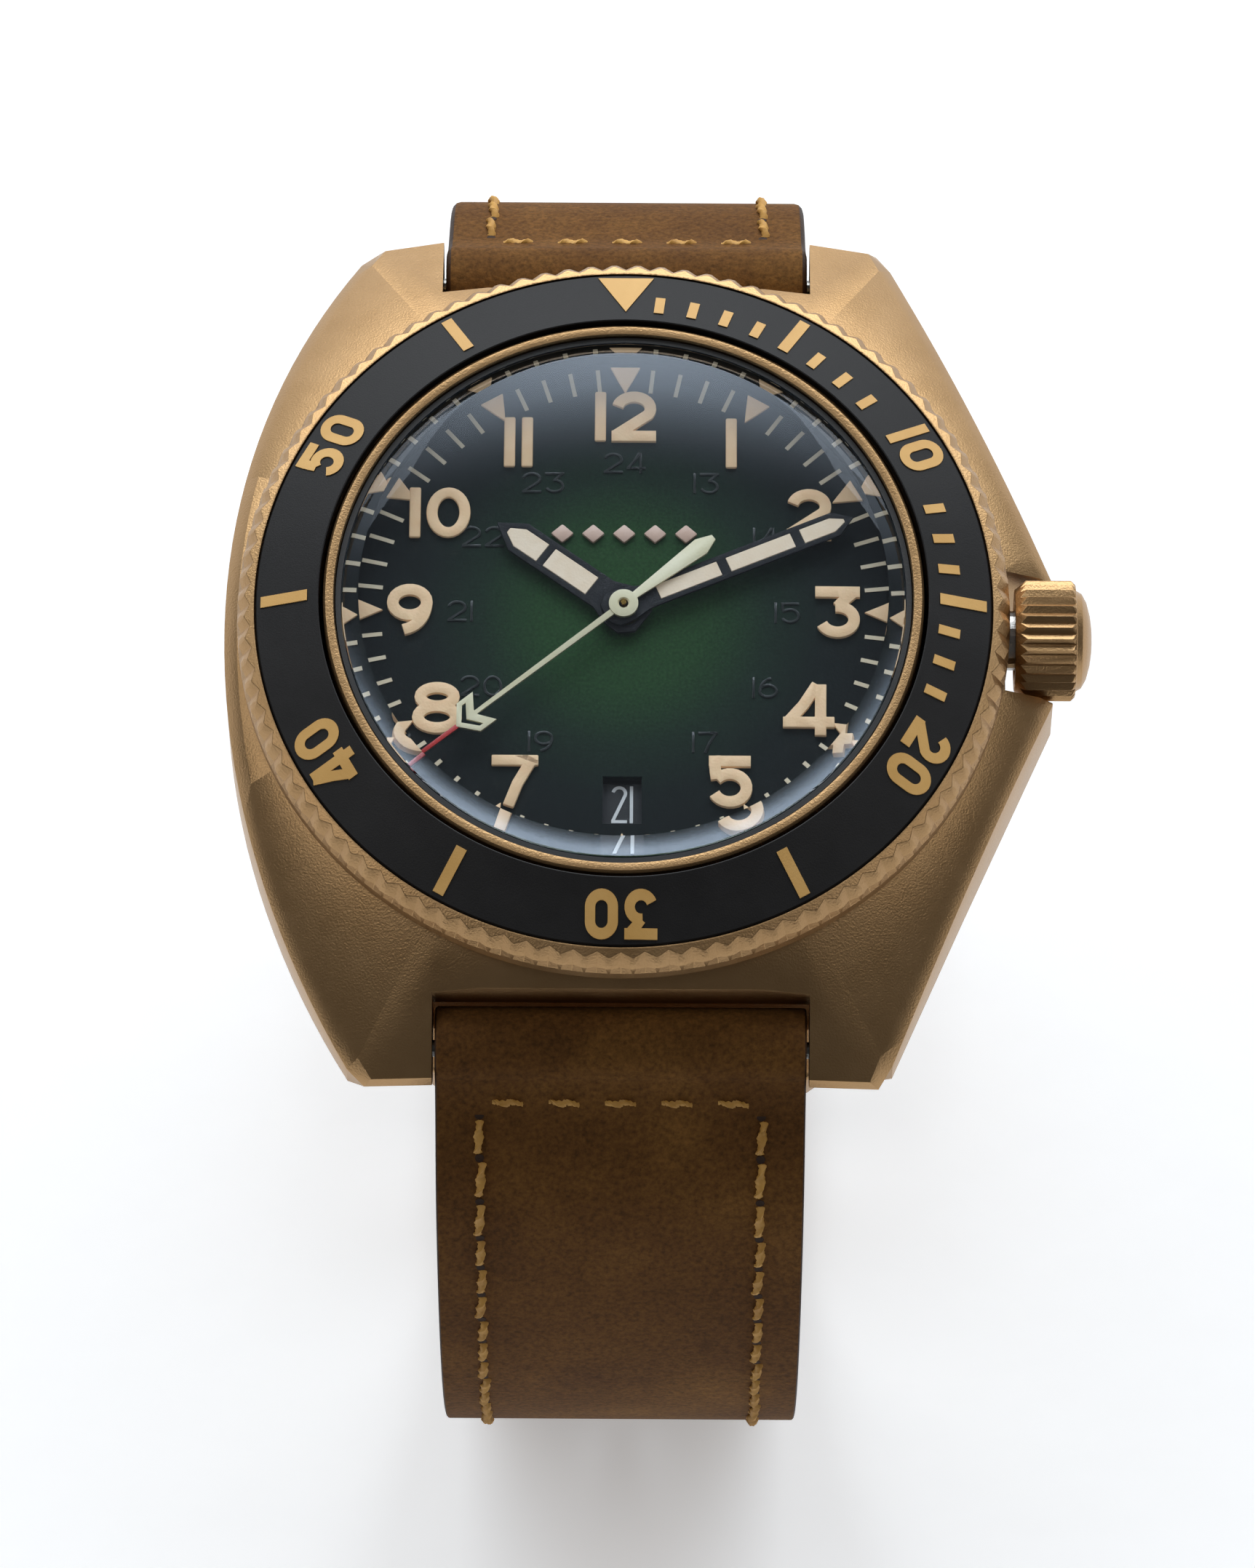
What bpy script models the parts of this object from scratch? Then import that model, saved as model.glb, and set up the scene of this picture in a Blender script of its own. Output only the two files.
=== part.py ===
"""Bronze dive watch: case, bezel, automatic movement, hands and two-piece leather strap.

The origin is the centre of the case back's outer face. +Z leaves the dial towards the
crystal, +Y points to 12 o'clock and +X to the crown. Sizes below are in millimetres and
are scaled to metres when a mesh is made.
"""

import math

import bmesh
import bpy
from mathutils import Matrix, Vector

MM = 0.001
BIG_STEPS = 36             # sides of the large round parts

# Case
CASE_FLOOR = 0.9
CASE_DECK = 7.2            # flat under the bezel
DECK_RADIUS = 20.2
CONE_START = 20.6          # the upper face falls away as a cone beyond this radius
CONE_SLOPE = 0.61
LUG_TIP = (13.22, 24.46)
LUG_INNER_Y = 24.7
LUG_GAP = 20.0
LUG_GAP_WALL = 20.6
RELIEF_RADIUS = 2.65       # hollow in the lug gap's wall round the strap's loop
LUG_DROP = 0.7             # how far the lug tips reach below the case floor
FLANK_X = -20.7            # widest point of the plain flank
GUARD_TIP = (22.3, 3.5)
EDGE_OUT = 0.7             # upper edge bevel, outwards and down
EDGE_DOWN = 0.75
FLOOR_BEVEL = 0.5
COLLAR_RADIUS = 16.0
COLLAR_TOP = 11.15
CRYSTAL_BORE = 15.4
CRYSTAL_LEDGE = 8.95
LEDGE_RADIUS = 14.6
MOVEMENT_BORE = 14.75
DIAL_RING_TOP = 8.5
WIRE_RADIUS = 16.15
WIRE_Z = 8.2
BACK_BORE = 16.3

# Bezel
BEZEL_RADIUS = 20.65
BEZEL_BORE = 16.25
BEZEL_FLOOR = 7.35
INSERT_OUTER = 19.62
INSERT_INNER = 16.14
INSERT_LOW = 9.8
INSERT_HIGH = 11.25
INSERT_THICK = 0.75

# Crown and winding stem
CROWN_Z = 5.6
CROWN_RADIUS = 3.25
CROWN_INNER_X = 20.95
CROWN_OUTER_X = 24.2
CROWN_TIP_X = 25.1
CROWN_RIBS = 24
STEM_RADIUS = 0.5

# Movement, from the case back up to the hands
BRIDGE = (2.15, 2.7)
PLATE = (5.3, 6.5)
PLATE_RADIUS = 13.0
BRIDGE_RADIUS = 10.2
DIAL = (7.45, 7.85)
DIAL_RADIUS = 14.5
THIRD_AT = (-1.50, -4.13)
ESCAPE_AT = (3.77, -2.18)
PALLET_AT = (3.77, -4.95)
BALANCE_AT = (3.77, -7.50)
BARREL_AT = (-4.71, 3.95)
MINUTE_WHEEL_AT = (2.86, 2.86)

# Hands, in degrees clockwise from 12
HOUR_ANGLE = 306.0
MINUTE_ANGLE = 66.7
SECOND_ANGLE = 230.8

# Strap: its middle line wraps a circle below the case, and the long half ends flat
BAR_Y = 22.5
BAR_Z = 2.4
BAR_RADIUS = 0.9
WRAP_RADIUS = 32.4
WRAP_Z = -17.9
STRAP_WIDTH = 19.7
STRAP_END_WIDTH = 18.0
STRAP_THICK = 3.0
STRAP_END_THICK = 2.4
LOOP_RADIUS = 2.25
LOOP_INSET = 0.02          # a loop is this much narrower than the leather on each side
LOOP_PLAY = 0.08           # room round a bar in its loop
END_LOOP_RADIUS = 1.9
HOLE_COUNT = 7
HOLE_RADIUS = 1.05
HOLE_PITCH = 6.5
FIRST_HOLE = 26.0          # from the tip of the long half
SHORT_LENGTH = 66.0
LONG_LENGTH = 120.0
LIFT_OFF = 115.0           # degrees round the circle where the long half leaves it
BEND_RADIUS = 12.5
TAIL_Z = -55.8             # middle line of the flat tail
STATION_STEP = 3.8
TAPER_LENGTH = 65.0        # the leather thins over this much of its length

KEEPER_HALF = 9.75
KEEPER_WALL = 1.1
KEEPER_LENGTH = 5.0
FIXED_KEEPER = 8.5         # from the buckle's bar
SLIDING_KEEPER = 24.0

# Buckle
BUCKLE_TILT = 12.0
BUCKLE_BAR_RADIUS = 0.75
BUCKLE_PLAY = 0.06         # room round the bar in the frame and the tongue
FRAME_HALF = 12.2
FRAME_THICK = 3.0

UPRIGHT = Matrix(((0, 0, 1), (1, 0, 0), (0, 1, 0))).to_4x4()   # local x, y, z to y, z, x

MATERIALS = {
    "bronze": ((0.42, 0.27, 0.14), 0.38, 1.0),
    "insert_black": ((0.012, 0.012, 0.013), 0.55, 0.0),
    "sapphire": ((0.85, 0.9, 0.95), 0.02, 0.0),
    "rubber_black": ((0.015, 0.015, 0.015), 0.7, 0.0),
    "black_anodised": ((0.01, 0.01, 0.011), 0.45, 0.2),
    "steel": ((0.56, 0.56, 0.55), 0.3, 1.0),
    "spring_steel": ((0.35, 0.37, 0.42), 0.28, 1.0),
    "dial_green": ((0.01, 0.03, 0.024), 0.4, 0.3),
    "date_black": ((0.01, 0.01, 0.01), 0.5, 0.0),
    "hand_cream": ((0.62, 0.5, 0.34), 0.6, 0.0),
    "brass": ((0.72, 0.53, 0.24), 0.3, 1.0),
    "plate_rhodium": ((0.6, 0.6, 0.58), 0.32, 1.0),
    "balance_gold": ((0.7, 0.5, 0.25), 0.25, 1.0),
    "holder_plastic": ((0.75, 0.74, 0.7), 0.5, 0.0),
    "rotor_steel": ((0.45, 0.45, 0.44), 0.28, 1.0),
    "leather_brown": ((0.11, 0.065, 0.04), 0.85, 0.0),
}


def clear_scene():
    for obj in list(bpy.data.objects):
        bpy.data.objects.remove(obj, do_unlink=True)


def make_materials():
    for name, (color, roughness, metallic) in MATERIALS.items():
        material = bpy.data.materials.new(name)
        material.use_nodes = True
        shader = material.node_tree.nodes["Principled BSDF"]
        shader.inputs["Base Color"].default_value = (*color, 1.0)
        shader.inputs["Roughness"].default_value = roughness
        shader.inputs["Metallic"].default_value = metallic


# ---------------------------------------------------------------- mesh helpers


def finish(name, bm, material, at=(0, 0, 0), turn=(0, 0, 0)):
    """Closes a mesh built in millimetres and places it as an object in metres."""
    bmesh.ops.remove_doubles(bm, verts=bm.verts, dist=0.0001)
    bmesh.ops.recalc_face_normals(bm, faces=bm.faces)
    bmesh.ops.scale(bm, vec=(MM, MM, MM), verts=bm.verts)
    mesh = bpy.data.meshes.new(name)
    bm.to_mesh(mesh)
    bm.free()
    mesh.shade_smooth()
    mesh.set_sharp_from_angle(angle=math.radians(32))
    obj = bpy.data.objects.new(name, mesh)
    obj.location = Vector(at) * MM
    obj.rotation_euler = [math.radians(a) for a in turn]
    if material:
        mesh.materials.append(bpy.data.materials[material])
    bpy.context.scene.collection.objects.link(obj)
    return obj


def turned(name, profile, material=None, steps=48, at=(0, 0, 0), turn=(0, 0, 0)):
    """Spins a profile of (radius, height) points about its Z axis."""
    bm = bmesh.new()
    verts = [bm.verts.new((r, 0, z)) for r, z in profile]
    pairs = list(zip(verts, verts[1:]))
    if profile[0][0] > 0 or profile[-1][0] > 0:
        pairs.append((verts[-1], verts[0]))
    edges = [bm.edges.new(pair) for pair in pairs]
    bmesh.ops.spin(bm, geom=verts + edges, cent=(0, 0, 0), axis=(0, 0, 1),
                   angle=math.tau, steps=steps, use_merge=True)
    return finish(name, bm, material, at, turn)


def prism(name, outline, low, high, material=None, at=(0, 0, 0), turn=(0, 0, 0)):
    """Extrudes a flat outline from one height to another."""
    bm = bmesh.new()
    lower = [bm.verts.new((x, y, low)) for x, y in outline]
    upper = [bm.verts.new((x, y, high)) for x, y in outline]
    bm.faces.new(lower)
    bm.faces.new(upper)
    for i in range(len(outline)):
        bm.faces.new((lower[i - 1], lower[i], upper[i], upper[i - 1]))
    return finish(name, bm, material, at, turn)


def lofted(name, loops, material=None, closed=False):
    """Joins loops of 3-D points in order; the ends are capped, or joined when closed."""
    bm = bmesh.new()
    rings = [[bm.verts.new(point) for point in loop] for loop in loops]
    pairs = list(zip(rings, rings[1:]))
    if closed:
        pairs.append((rings[-1], rings[0]))
    else:
        bm.faces.new(rings[0])
        bm.faces.new(rings[-1])
    for one, two in pairs:
        for i in range(len(one)):
            bm.faces.new((one[i - 1], one[i], two[i], two[i - 1]))
    return finish(name, bm, material)


def prism_across(name, outline, half, material=None):
    """Extrudes an outline of (y, z) points along X, both ways from the middle."""
    piece = prism(name, outline, -half, half, material)
    piece.matrix_world = UPRIGHT
    return piece


def box(name, low, high, material=None):
    outline = [(low[0], low[1]), (high[0], low[1]), (high[0], high[1]), (low[0], high[1])]
    return prism(name, outline, low[2], high[2], material)


def rod(name, radius, low, high, material=None, steps=24, at=(0, 0, 0), turn=(0, 0, 0)):
    return turned(name, [(0, low), (radius, low), (radius, high), (0, high)],
                  material, steps, at, turn)


def pipe(name, inner, outer, low, high, material=None, steps=24, at=(0, 0, 0), turn=(0, 0, 0)):
    profile = [(inner, low), (outer, low), (outer, high), (inner, high)]
    return turned(name, profile, material, steps, at, turn)


def combine(body, other, operation):
    """Boolean with a hidden helper object."""
    modifier = body.modifiers.new(operation.lower(), "BOOLEAN")
    modifier.operation = operation
    modifier.object = other
    other.hide_render = True
    other.display_type = "WIRE"


def cut(body, *others):
    for other in others:
        combine(body, other, "DIFFERENCE")


def join(body, *others):
    for other in others:
        combine(body, other, "UNION")


def keep_within(body, other):
    combine(body, other, "INTERSECT")


def move_origin(obj, point):
    """Puts an object's origin on its joint without moving its mesh in the world."""
    place = Vector(point) * MM
    obj.data.transform(Matrix.Translation(-place))
    obj.location = place


def arc(radius, start, end, count, center=(0, 0)):
    """Points on an arc, in degrees anticlockwise from +X."""
    step = math.radians(end - start) / count
    angles = [math.radians(start) + step * i for i in range(count + 1)]
    return [(center[0] + radius * math.cos(a), center[1] + radius * math.sin(a)) for a in angles]


def toothed(teeth, root, tip):
    """A gear's outline with pointed teeth."""
    outline = []
    for i in range(teeth * 2):
        radius = tip if i % 2 else root
        angle = math.pi * i / teeth
        outline.append((radius * math.cos(angle), radius * math.sin(angle)))
    return outline


def offset(outline, distance):
    """Moves a closed anticlockwise outline outwards by a distance."""
    moved = []
    for i, point in enumerate(outline):
        here = Vector(point)
        before = (here - Vector(outline[i - 1])).normalized()
        after = (Vector(outline[(i + 1) % len(outline)]) - here).normalized()
        normal = Vector((before.y + after.y, -before.x - after.x)).normalized()
        reach = distance / max(0.5, normal.dot(Vector((after.y, -after.x))))
        moved.append(tuple(here + normal * reach))
    return moved


# ---------------------------------------------------------------- case


def case_outline():
    """Upper edge of the case seen from above, before the lug gaps and crown notch are cut."""
    tip_x, tip_y = LUG_TIP
    sag = -FLANK_X - tip_x
    radius = (tip_y ** 2 + sag ** 2) / (2 * sag)
    spread = math.degrees(math.asin(tip_y / radius))
    flank = arc(radius, 180 - spread, 180 + spread, 16, (FLANK_X + radius, 0))
    inner_x = LUG_GAP / 2 - 1
    side = [(-inner_x, -LUG_INNER_Y), (inner_x, -LUG_INNER_Y), (tip_x, -tip_y)]
    guard_x, guard_y = GUARD_TIP
    steps = 8
    lower = [(tip_x + (guard_x - tip_x) * i / steps, -tip_y + (tip_y - guard_y) * i / steps)
             for i in range(1, steps + 1)]
    upper = [(x, -y) for x, y in reversed(lower)]
    return flank + side + lower + upper + [(tip_x, tip_y), (inner_x, LUG_INNER_Y),
                                           (-inner_x, LUG_INNER_Y)]


def cone_height(x, y):
    return CASE_DECK - CONE_SLOPE * max(0.0, math.hypot(x, y) - CONE_START)


def floor_height(y):
    share = min(1.0, max(0.0, (abs(y) - 15.0) / (LUG_INNER_Y - 15.0)))
    return CASE_FLOOR - LUG_DROP * share


def scaled_to(outline, radius, height):
    return [(x * radius / math.hypot(x, y), y * radius / math.hypot(x, y), height)
            for x, y in outline]


def make_case():
    edge = case_outline()
    wide = offset(edge, EDGE_OUT)
    foot = offset(edge, EDGE_OUT - FLOOR_BEVEL)
    loops = [
        scaled_to(edge, 18.4, CASE_FLOOR),
        [(x, y, floor_height(y)) for x, y in foot],
        [(x, y, floor_height(y) + FLOOR_BEVEL) for x, y in wide],
        [(x, y, cone_height(*edge[i]) - EDGE_DOWN) for i, (x, y) in enumerate(wide)],
        [(x, y, cone_height(x, y)) for x, y in edge],
        scaled_to(edge, DECK_RADIUS, CASE_DECK),
    ]
    case = lofted("case_middle", loops, "bronze")
    join(case, rod("collar_blank", COLLAR_RADIUS, 5.0, COLLAR_TOP, steps=BIG_STEPS))
    bore = [(0, -1), (17.35, -1), (17.35, 1.55), (BACK_BORE, 1.55), (BACK_BORE, 2.6),
            (MOVEMENT_BORE, 2.6), (MOVEMENT_BORE, DIAL_RING_TOP), (LEDGE_RADIUS, DIAL_RING_TOP),
            (LEDGE_RADIUS, CRYSTAL_LEDGE), (CRYSTAL_BORE, CRYSTAL_LEDGE), (CRYSTAL_BORE, 13),
            (0, 13)]
    cut(case, turned("case_bore", bore, steps=BIG_STEPS))
    groove = [(15.8, WIRE_Z - 0.3), (16.9, WIRE_Z - 0.3), (16.9, WIRE_Z + 0.3),
              (15.8, WIRE_Z + 0.3)]
    cut(case, turned("wire_groove", groove, steps=BIG_STEPS))
    for side in (-1, 1):
        spread = math.degrees(math.acos((BAR_Y - LUG_GAP_WALL) / RELIEF_RADIUS))
        relief = arc(RELIEF_RADIUS, 180 - spread, 180 + spread, 6, (BAR_Y, BAR_Z))
        gap = [(LUG_GAP_WALL, -5), (30, -5), (30, 12), (LUG_GAP_WALL, 12)] + relief
        gap = [(side * y, z) for y, z in gap]
        cut(case, prism_across(f"lug_gap_{side}", gap, LUG_GAP / 2))
        cut(case, rod(f"bar_holes_{side}", 0.55, -11.2, 11.2, steps=12,
                      at=(0, side * BAR_Y, BAR_Z), turn=(0, 90, 0)))
    cut(case, box("crown_notch", (20.4, -3.5, -5), (30, 3.5, 12)))
    cut(case, rod("tube_hole", 1.65, 13, 22, at=(0, 0, CROWN_Z), turn=(0, 90, 0)))


def make_back():
    profile = [(0, 0), (17.5, 0), (18.0, 0.35), (18.0, 0.85), (16.2, 0.85), (16.2, 2.5),
               (15.2, 2.5), (15.2, 1.25), (0, 1.25)]
    back = turned("caseback", profile, "bronze", steps=BIG_STEPS)
    for i in range(6):
        angle = 60 * i
        slot = box(f"back_slot_{i}", (16.7, -1.1, -1), (19, 1.1, 0.45))
        slot.rotation_euler.z = math.radians(angle)
        cut(back, slot)
    ring("caseback_gasket", 16.82, 0.28, 1.2, "rubber_black")


def ring(name, radius, thickness, z, material):
    """A round-section ring about the Z axis, lying flat at height z."""
    profile = [(radius + thickness * math.cos(math.radians(a)),
                thickness * math.sin(math.radians(a))) for a in range(0, 360, 72)]
    return turned(name, profile, material, BIG_STEPS, (0, 0, z))


def make_crystal():
    dome = 3
    top = [(14.8 * (1 - i / dome), 12.9 - 1.4 * (1 - i / dome) ** 2) for i in range(dome + 1)]
    under = [(14.2 * i / dome, 10.1 - 1.05 * (i / dome) ** 2) for i in range(dome + 1)]
    profile = under + [(15.0, 9.05), (15.0, 11.25)] + top
    turned("crystal", profile, "sapphire", steps=BIG_STEPS)
    pipe("crystal_gasket", 15.06, 15.34, 9.02, 10.9, "rubber_black", BIG_STEPS)
    dial_ring = [(14.3, 7.92), (14.68, 7.92), (14.68, 8.44), (14.55, 8.44)]
    turned("dial_ring", dial_ring, "black_anodised", steps=BIG_STEPS)


def make_bezel():
    seat_low = INSERT_LOW - INSERT_THICK - 0.06
    seat_high = INSERT_HIGH - INSERT_THICK - 0.06
    profile = [(BEZEL_BORE, BEZEL_FLOOR), (17.0, BEZEL_FLOOR), (17.0, 7.95), (19.0, 7.95),
               (19.0, BEZEL_FLOOR), (20.3, BEZEL_FLOOR), (BEZEL_RADIUS, 7.7),
               (BEZEL_RADIUS, 9.1), (20.05, 9.8), (19.7, 9.8), (19.7, seat_low),
               (BEZEL_BORE, seat_high), (BEZEL_BORE, 8.5), (16.5, 8.5), (16.5, 7.9),
               (BEZEL_BORE, 7.9)]
    turned("bezel_ring", profile, "bronze", steps=BIG_STEPS)
    insert = [(INSERT_OUTER, INSERT_LOW - INSERT_THICK), (INSERT_OUTER, INSERT_LOW),
              (INSERT_INNER + 0.1, INSERT_HIGH), (INSERT_INNER + 0.1, INSERT_HIGH - INSERT_THICK)]
    turned("bezel_insert", insert, "insert_black", steps=BIG_STEPS)
    ring("bezel_retaining_wire", WIRE_RADIUS, 0.2, WIRE_Z, "spring_steel")
    spring = pipe("bezel_click_spring", 17.3, 18.7, 7.25, 7.42, "spring_steel", BIG_STEPS)
    for i in range(3):
        tab = box(f"click_tab_{i}", (17.5, -1.0, 7.3), (18.5, 1.0, 7.75))
        tab.rotation_euler.z = math.radians(120 * i)
        join(spring, tab)


# ---------------------------------------------------------------- crown and winding


def make_crown():
    ribs = toothed(CROWN_RIBS, CROWN_RADIUS - 0.32, CROWN_RADIUS)
    turn = (0, 90, 0)
    place = (0, 0, CROWN_Z)
    crown = prism("crown", ribs, CROWN_INNER_X, CROWN_OUTER_X, "bronze", place, turn)
    cap = [(0, CROWN_OUTER_X - 0.4), (2.7, CROWN_OUTER_X - 0.4), (2.7, CROWN_OUTER_X + 0.25),
           (2.0, CROWN_TIP_X - 0.2), (1.0, CROWN_TIP_X - 0.03), (0, CROWN_TIP_X)]
    join(crown, turned("crown_cap", cap, steps=32, at=place, turn=turn))
    cut(crown, rod("crown_hollow", 2.15, 20, 23, at=place, turn=turn))
    pipe("crown_gasket", 1.66, 2.1, 21.5, 22.1, "rubber_black", 24, place, turn)
    pipe("crown_tube", 0.75, 1.6, 14.9, 22.5, "steel", 24, place, turn)
    rod("winding_stem", STEM_RADIUS, 7.3, 22.95, "steel", 16, place, turn)
    winding = prism("winding_pinion", toothed(12, 0.78, 0.95), 11.4, 12.2, "steel", place, turn)
    cut(winding, rod("winding_bore", STEM_RADIUS + 0.05, 11, 13, steps=16, at=place, turn=turn))
    sliding = prism("sliding_pinion", toothed(12, 0.78, 0.95), 9.3, 11.3, "steel", place, turn)
    cut(sliding, rod("sliding_bore", STEM_RADIUS + 0.05, 9, 12, steps=16, at=place, turn=turn))


# ---------------------------------------------------------------- movement


def wheel(name, at, parts, material="brass"):
    """A wheel on its arbor. Each part is (teeth or 0, radius, low, high); the first is the base."""
    pieces = []
    for i, (teeth, radius, low, high) in enumerate(parts):
        piece_name = name if i == 0 else f"{name}_piece_{i}"
        slot = material if i == 0 else None
        if teeth:
            outline = toothed(teeth, radius * 0.93 if teeth > 20 else radius * 0.8, radius)
            piece = prism(piece_name, outline, low, high, slot, (*at, 0))
        else:
            piece = rod(piece_name, radius, low, high, slot, 12, (*at, 0))
        pieces.append(piece)
    join(pieces[0], *pieces[1:])
    return pieces[0]


def make_train():
    barrel = wheel("barrel", BARREL_AT, [(60, 5.2, 3.75, 5.15)])
    cut(barrel, rod("barrel_hollow", 4.6, 3.9, 6, steps=32, at=(*BARREL_AT, 0)))
    cut(barrel, rod("barrel_bore", 0.66, 3, 6, steps=16, at=(*BARREL_AT, 0)))
    wheel("barrel_arbor", BARREL_AT, [(0, 0.6, 2.0, 5.25), (0, 0.9, 4.0, 5.0)], "steel")
    ratchet = wheel("ratchet_wheel", BARREL_AT, [(36, 3.4, 1.85, 2.08)], "steel")
    cut(ratchet, rod("ratchet_bore", 0.65, 1.95, 3, steps=16, at=(*BARREL_AT, 0)))
    centre = wheel("centre_wheel", (0, 0), [(48, 3.75, 3.45, 3.6), (0, 0.42, 3.35, 7.9),
                                            (10, 0.8, 3.9, 5.1)])
    cut(centre, rod("centre_bore", 0.22, 3, 9, steps=12))
    wheel("third_wheel", THIRD_AT, [(45, 3.75, 3.1, 3.25), (0, 0.2, 2.76, 5.2),
                                    (6, 0.5, 3.35, 3.75)])
    wheel("fourth_wheel", (0, 0), [(60, 3.85, 2.82, 2.97), (0, 0.14, 2.45, 9.12),
                                   (6, 0.5, 2.9, 3.28)])
    wheel("escape_wheel", ESCAPE_AT, [(20, 2.0, 4.3, 4.5), (0, 0.2, 2.76, 5.2),
                                      (5, 0.35, 2.8, 3.2)], "steel")


def make_pallet_fork():
    """Anchor with two raised pallets and a lever towards the balance roller."""
    outline = [(-1.7, 0.05), (-1.3, 0.05), (-1.2, -0.15), (-0.3, 0.25), (0.3, 0.25),
               (1.2, -0.15), (1.3, 0.05), (1.7, 0.05), (1.5, -0.6), (0.2, -0.35),
               (0.12, -1.4), (0.3, -1.75), (-0.3, -1.75), (-0.12, -1.4), (-0.2, -0.35),
               (-1.5, -0.6)]
    fork = prism("pallet_fork", outline, 4.3, 4.48, "steel", (*PALLET_AT, 0))
    join(fork, rod("pallet_staff", 0.14, 4.22, 5.2, steps=12, at=(*PALLET_AT, 0)))


def make_balance():
    rim = pipe("balance_wheel", 3.5, 4.0, 3.75, 4.1, "balance_gold", 32, (*BALANCE_AT, 0))
    spokes = prism("balance_spokes", [(-3.7, -0.25), (3.7, -0.25), (3.7, 0.25), (-3.7, 0.25)],
                   3.82, 4.0, at=(*BALANCE_AT, 0))
    join(rim, spokes, rod("balance_staff", 0.22, 2.76, 5.2, steps=12, at=(*BALANCE_AT, 0)),
         rod("balance_roller", 0.6, 4.3, 4.55, steps=16, at=(*BALANCE_AT, 0)))
    spiral("hairspring", BALANCE_AT, 0.45, 2.1, 3, 3.25, 3.42, 0.08, "spring_steel")
    spiral("mainspring", BARREL_AT, 1.1, 4.4, 4, 4.05, 4.95, 0.16, "spring_steel")


def spiral(name, at, inner, outer, turns, low, high, thickness, material):
    """A flat ribbon wound in a plane."""
    count = turns * 12
    loops = []
    for i in range(count + 1):
        angle = math.tau * turns * i / count
        radius = inner + (outer - inner) * i / count
        x, y = math.cos(angle), math.sin(angle)
        near, far = radius - thickness / 2, radius + thickness / 2
        loops.append([(at[0] + x * near, at[1] + y * near, low),
                      (at[0] + x * far, at[1] + y * far, low),
                      (at[0] + x * far, at[1] + y * far, high),
                      (at[0] + x * near, at[1] + y * near, high)])
    return lofted(name, loops, material)


def make_plates():
    low, high = PLATE
    plate = rod("mainplate", PLATE_RADIUS, low, high, "plate_rhodium", BIG_STEPS)
    cut(plate, rod("plate_centre", 1.0, 4, 8),
        box("stem_slot", (6.9, -1.3, 4), (14, 1.3, 8)))
    low, high = BRIDGE
    cover = rod("train_bridge", BRIDGE_RADIUS, low, high, "plate_rhodium", BIG_STEPS)
    cut(cover, box("balance_window", (0.8, -12, 0), (12, -3.9, 4)),
        rod("bridge_centre", 0.62, 1, 4, steps=16),
        rod("arbor_hole", 0.68, 1, 4, steps=16, at=(*BARREL_AT, 0)))
    for i, at in enumerate([(5.5, 6.5), (-8.6, -3.0), (-5.6, -7.6)]):
        join(cover, rod(f"bridge_leg_{i}", 0.75, high - 0.3, 5.24, steps=12, at=(*at, 0)))
    cock = rod("balance_cock", BRIDGE_RADIUS - 0.1, low, high, "plate_rhodium", BIG_STEPS)
    keep_within(cock, box("cock_bounds", (1.2, -12, 0), (12, -4.3, 4)))
    join(cock, rod("cock_leg", 0.6, high - 0.3, 5.24, steps=12, at=(8.0, -5.2, 0)))


def make_holder():
    holder = pipe("movement_holder", 13.2, 14.6, 2.9, 7.38, "holder_plastic", BIG_STEPS)
    cut(holder, rod("holder_stem_hole", 1.2, 12, 16, at=(0, 0, CROWN_Z), turn=(0, 90, 0)))
    for i, angle in enumerate((60, 240)):
        clamp = box(f"casing_clamp_{i + 1}", (12.55, -1.4, 2.64), (14.55, 1.4, 2.84), "steel")
        hole = rod(f"clamp_hole_{i}", 0.42, 2, 4.5, steps=16, at=(13.9, 0, 0))
        screw = turned(f"casing_screw_{i + 1}",
                       [(0, 2.3), (0.7, 2.3), (0.7, 2.6), (0.36, 2.6), (0.36, 4.3), (0, 4.3)],
                       "steel", 16, (13.9, 0, 0))
        spin = Matrix.Rotation(math.radians(angle), 4, "Z")
        for obj in (clamp, hole, screw):
            obj.matrix_world = spin @ Matrix.Translation(obj.location)
        cut(clamp, hole)
        cut(holder, hole)


def make_rotor():
    """Half-disc oscillating weight with a heavy rim, and the screw it turns on."""
    rim = arc(12.3, 180, 360, 18) + arc(10.8, 360, 180, 18)
    rotor = prism("rotor", rim, 1.5, 2.75, "rotor_steel")
    join(rotor, prism("rotor_web", arc(11.5, 181, 359, 14), 1.48, 1.7))
    join(rotor, rod("rotor_hub", 1.6, 1.46, 2.05, steps=24))
    cut(rotor, rod("rotor_bore", 0.66, 1, 3, steps=16))
    turned("rotor_screw", [(0, 1.3), (1.1, 1.3), (1.1, 1.42), (0.56, 1.42), (0.56, 2.4),
                           (0, 2.4)], "steel", 16)


def make_motion_work():
    cannon = wheel("cannon_pinion", (0, 0), [(12, 1.3, 6.56, 6.78), (0, 0.72, 6.54, 8.68)],
                   "steel")
    cut(cannon, rod("cannon_bore", 0.47, 6, 9, steps=16))
    wheel("minute_wheel", MINUTE_WHEEL_AT, [(36, 2.6, 6.58, 6.73), (9, 0.75, 6.65, 7.2)])
    hour = wheel("hour_wheel", (0, 0), [(36, 3.15, 6.95, 7.12), (0, 1.0, 6.9, 8.42)])
    cut(hour, rod("hour_bore", 0.77, 6, 9, steps=16))
    date = turned("date_ring", [(9.6, 7.0), (12.9, 7.0), (12.9, 7.33), (9.6, 7.33)],
                  "date_black", 31)
    cut(date, prism("date_teeth", toothed(31, 9.0, 9.9), 6.5, 8))


# ---------------------------------------------------------------- dial and hands


def make_dial():
    low, high = DIAL
    dial = rod("dial", DIAL_RADIUS, low, high, "dial_green", BIG_STEPS)
    cut(dial, rod("dial_centre", 1.15, 7, 9, steps=20),
        box("date_window", (-1.02, -12.05, 7), (1.02, -9.35, 9)))


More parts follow.
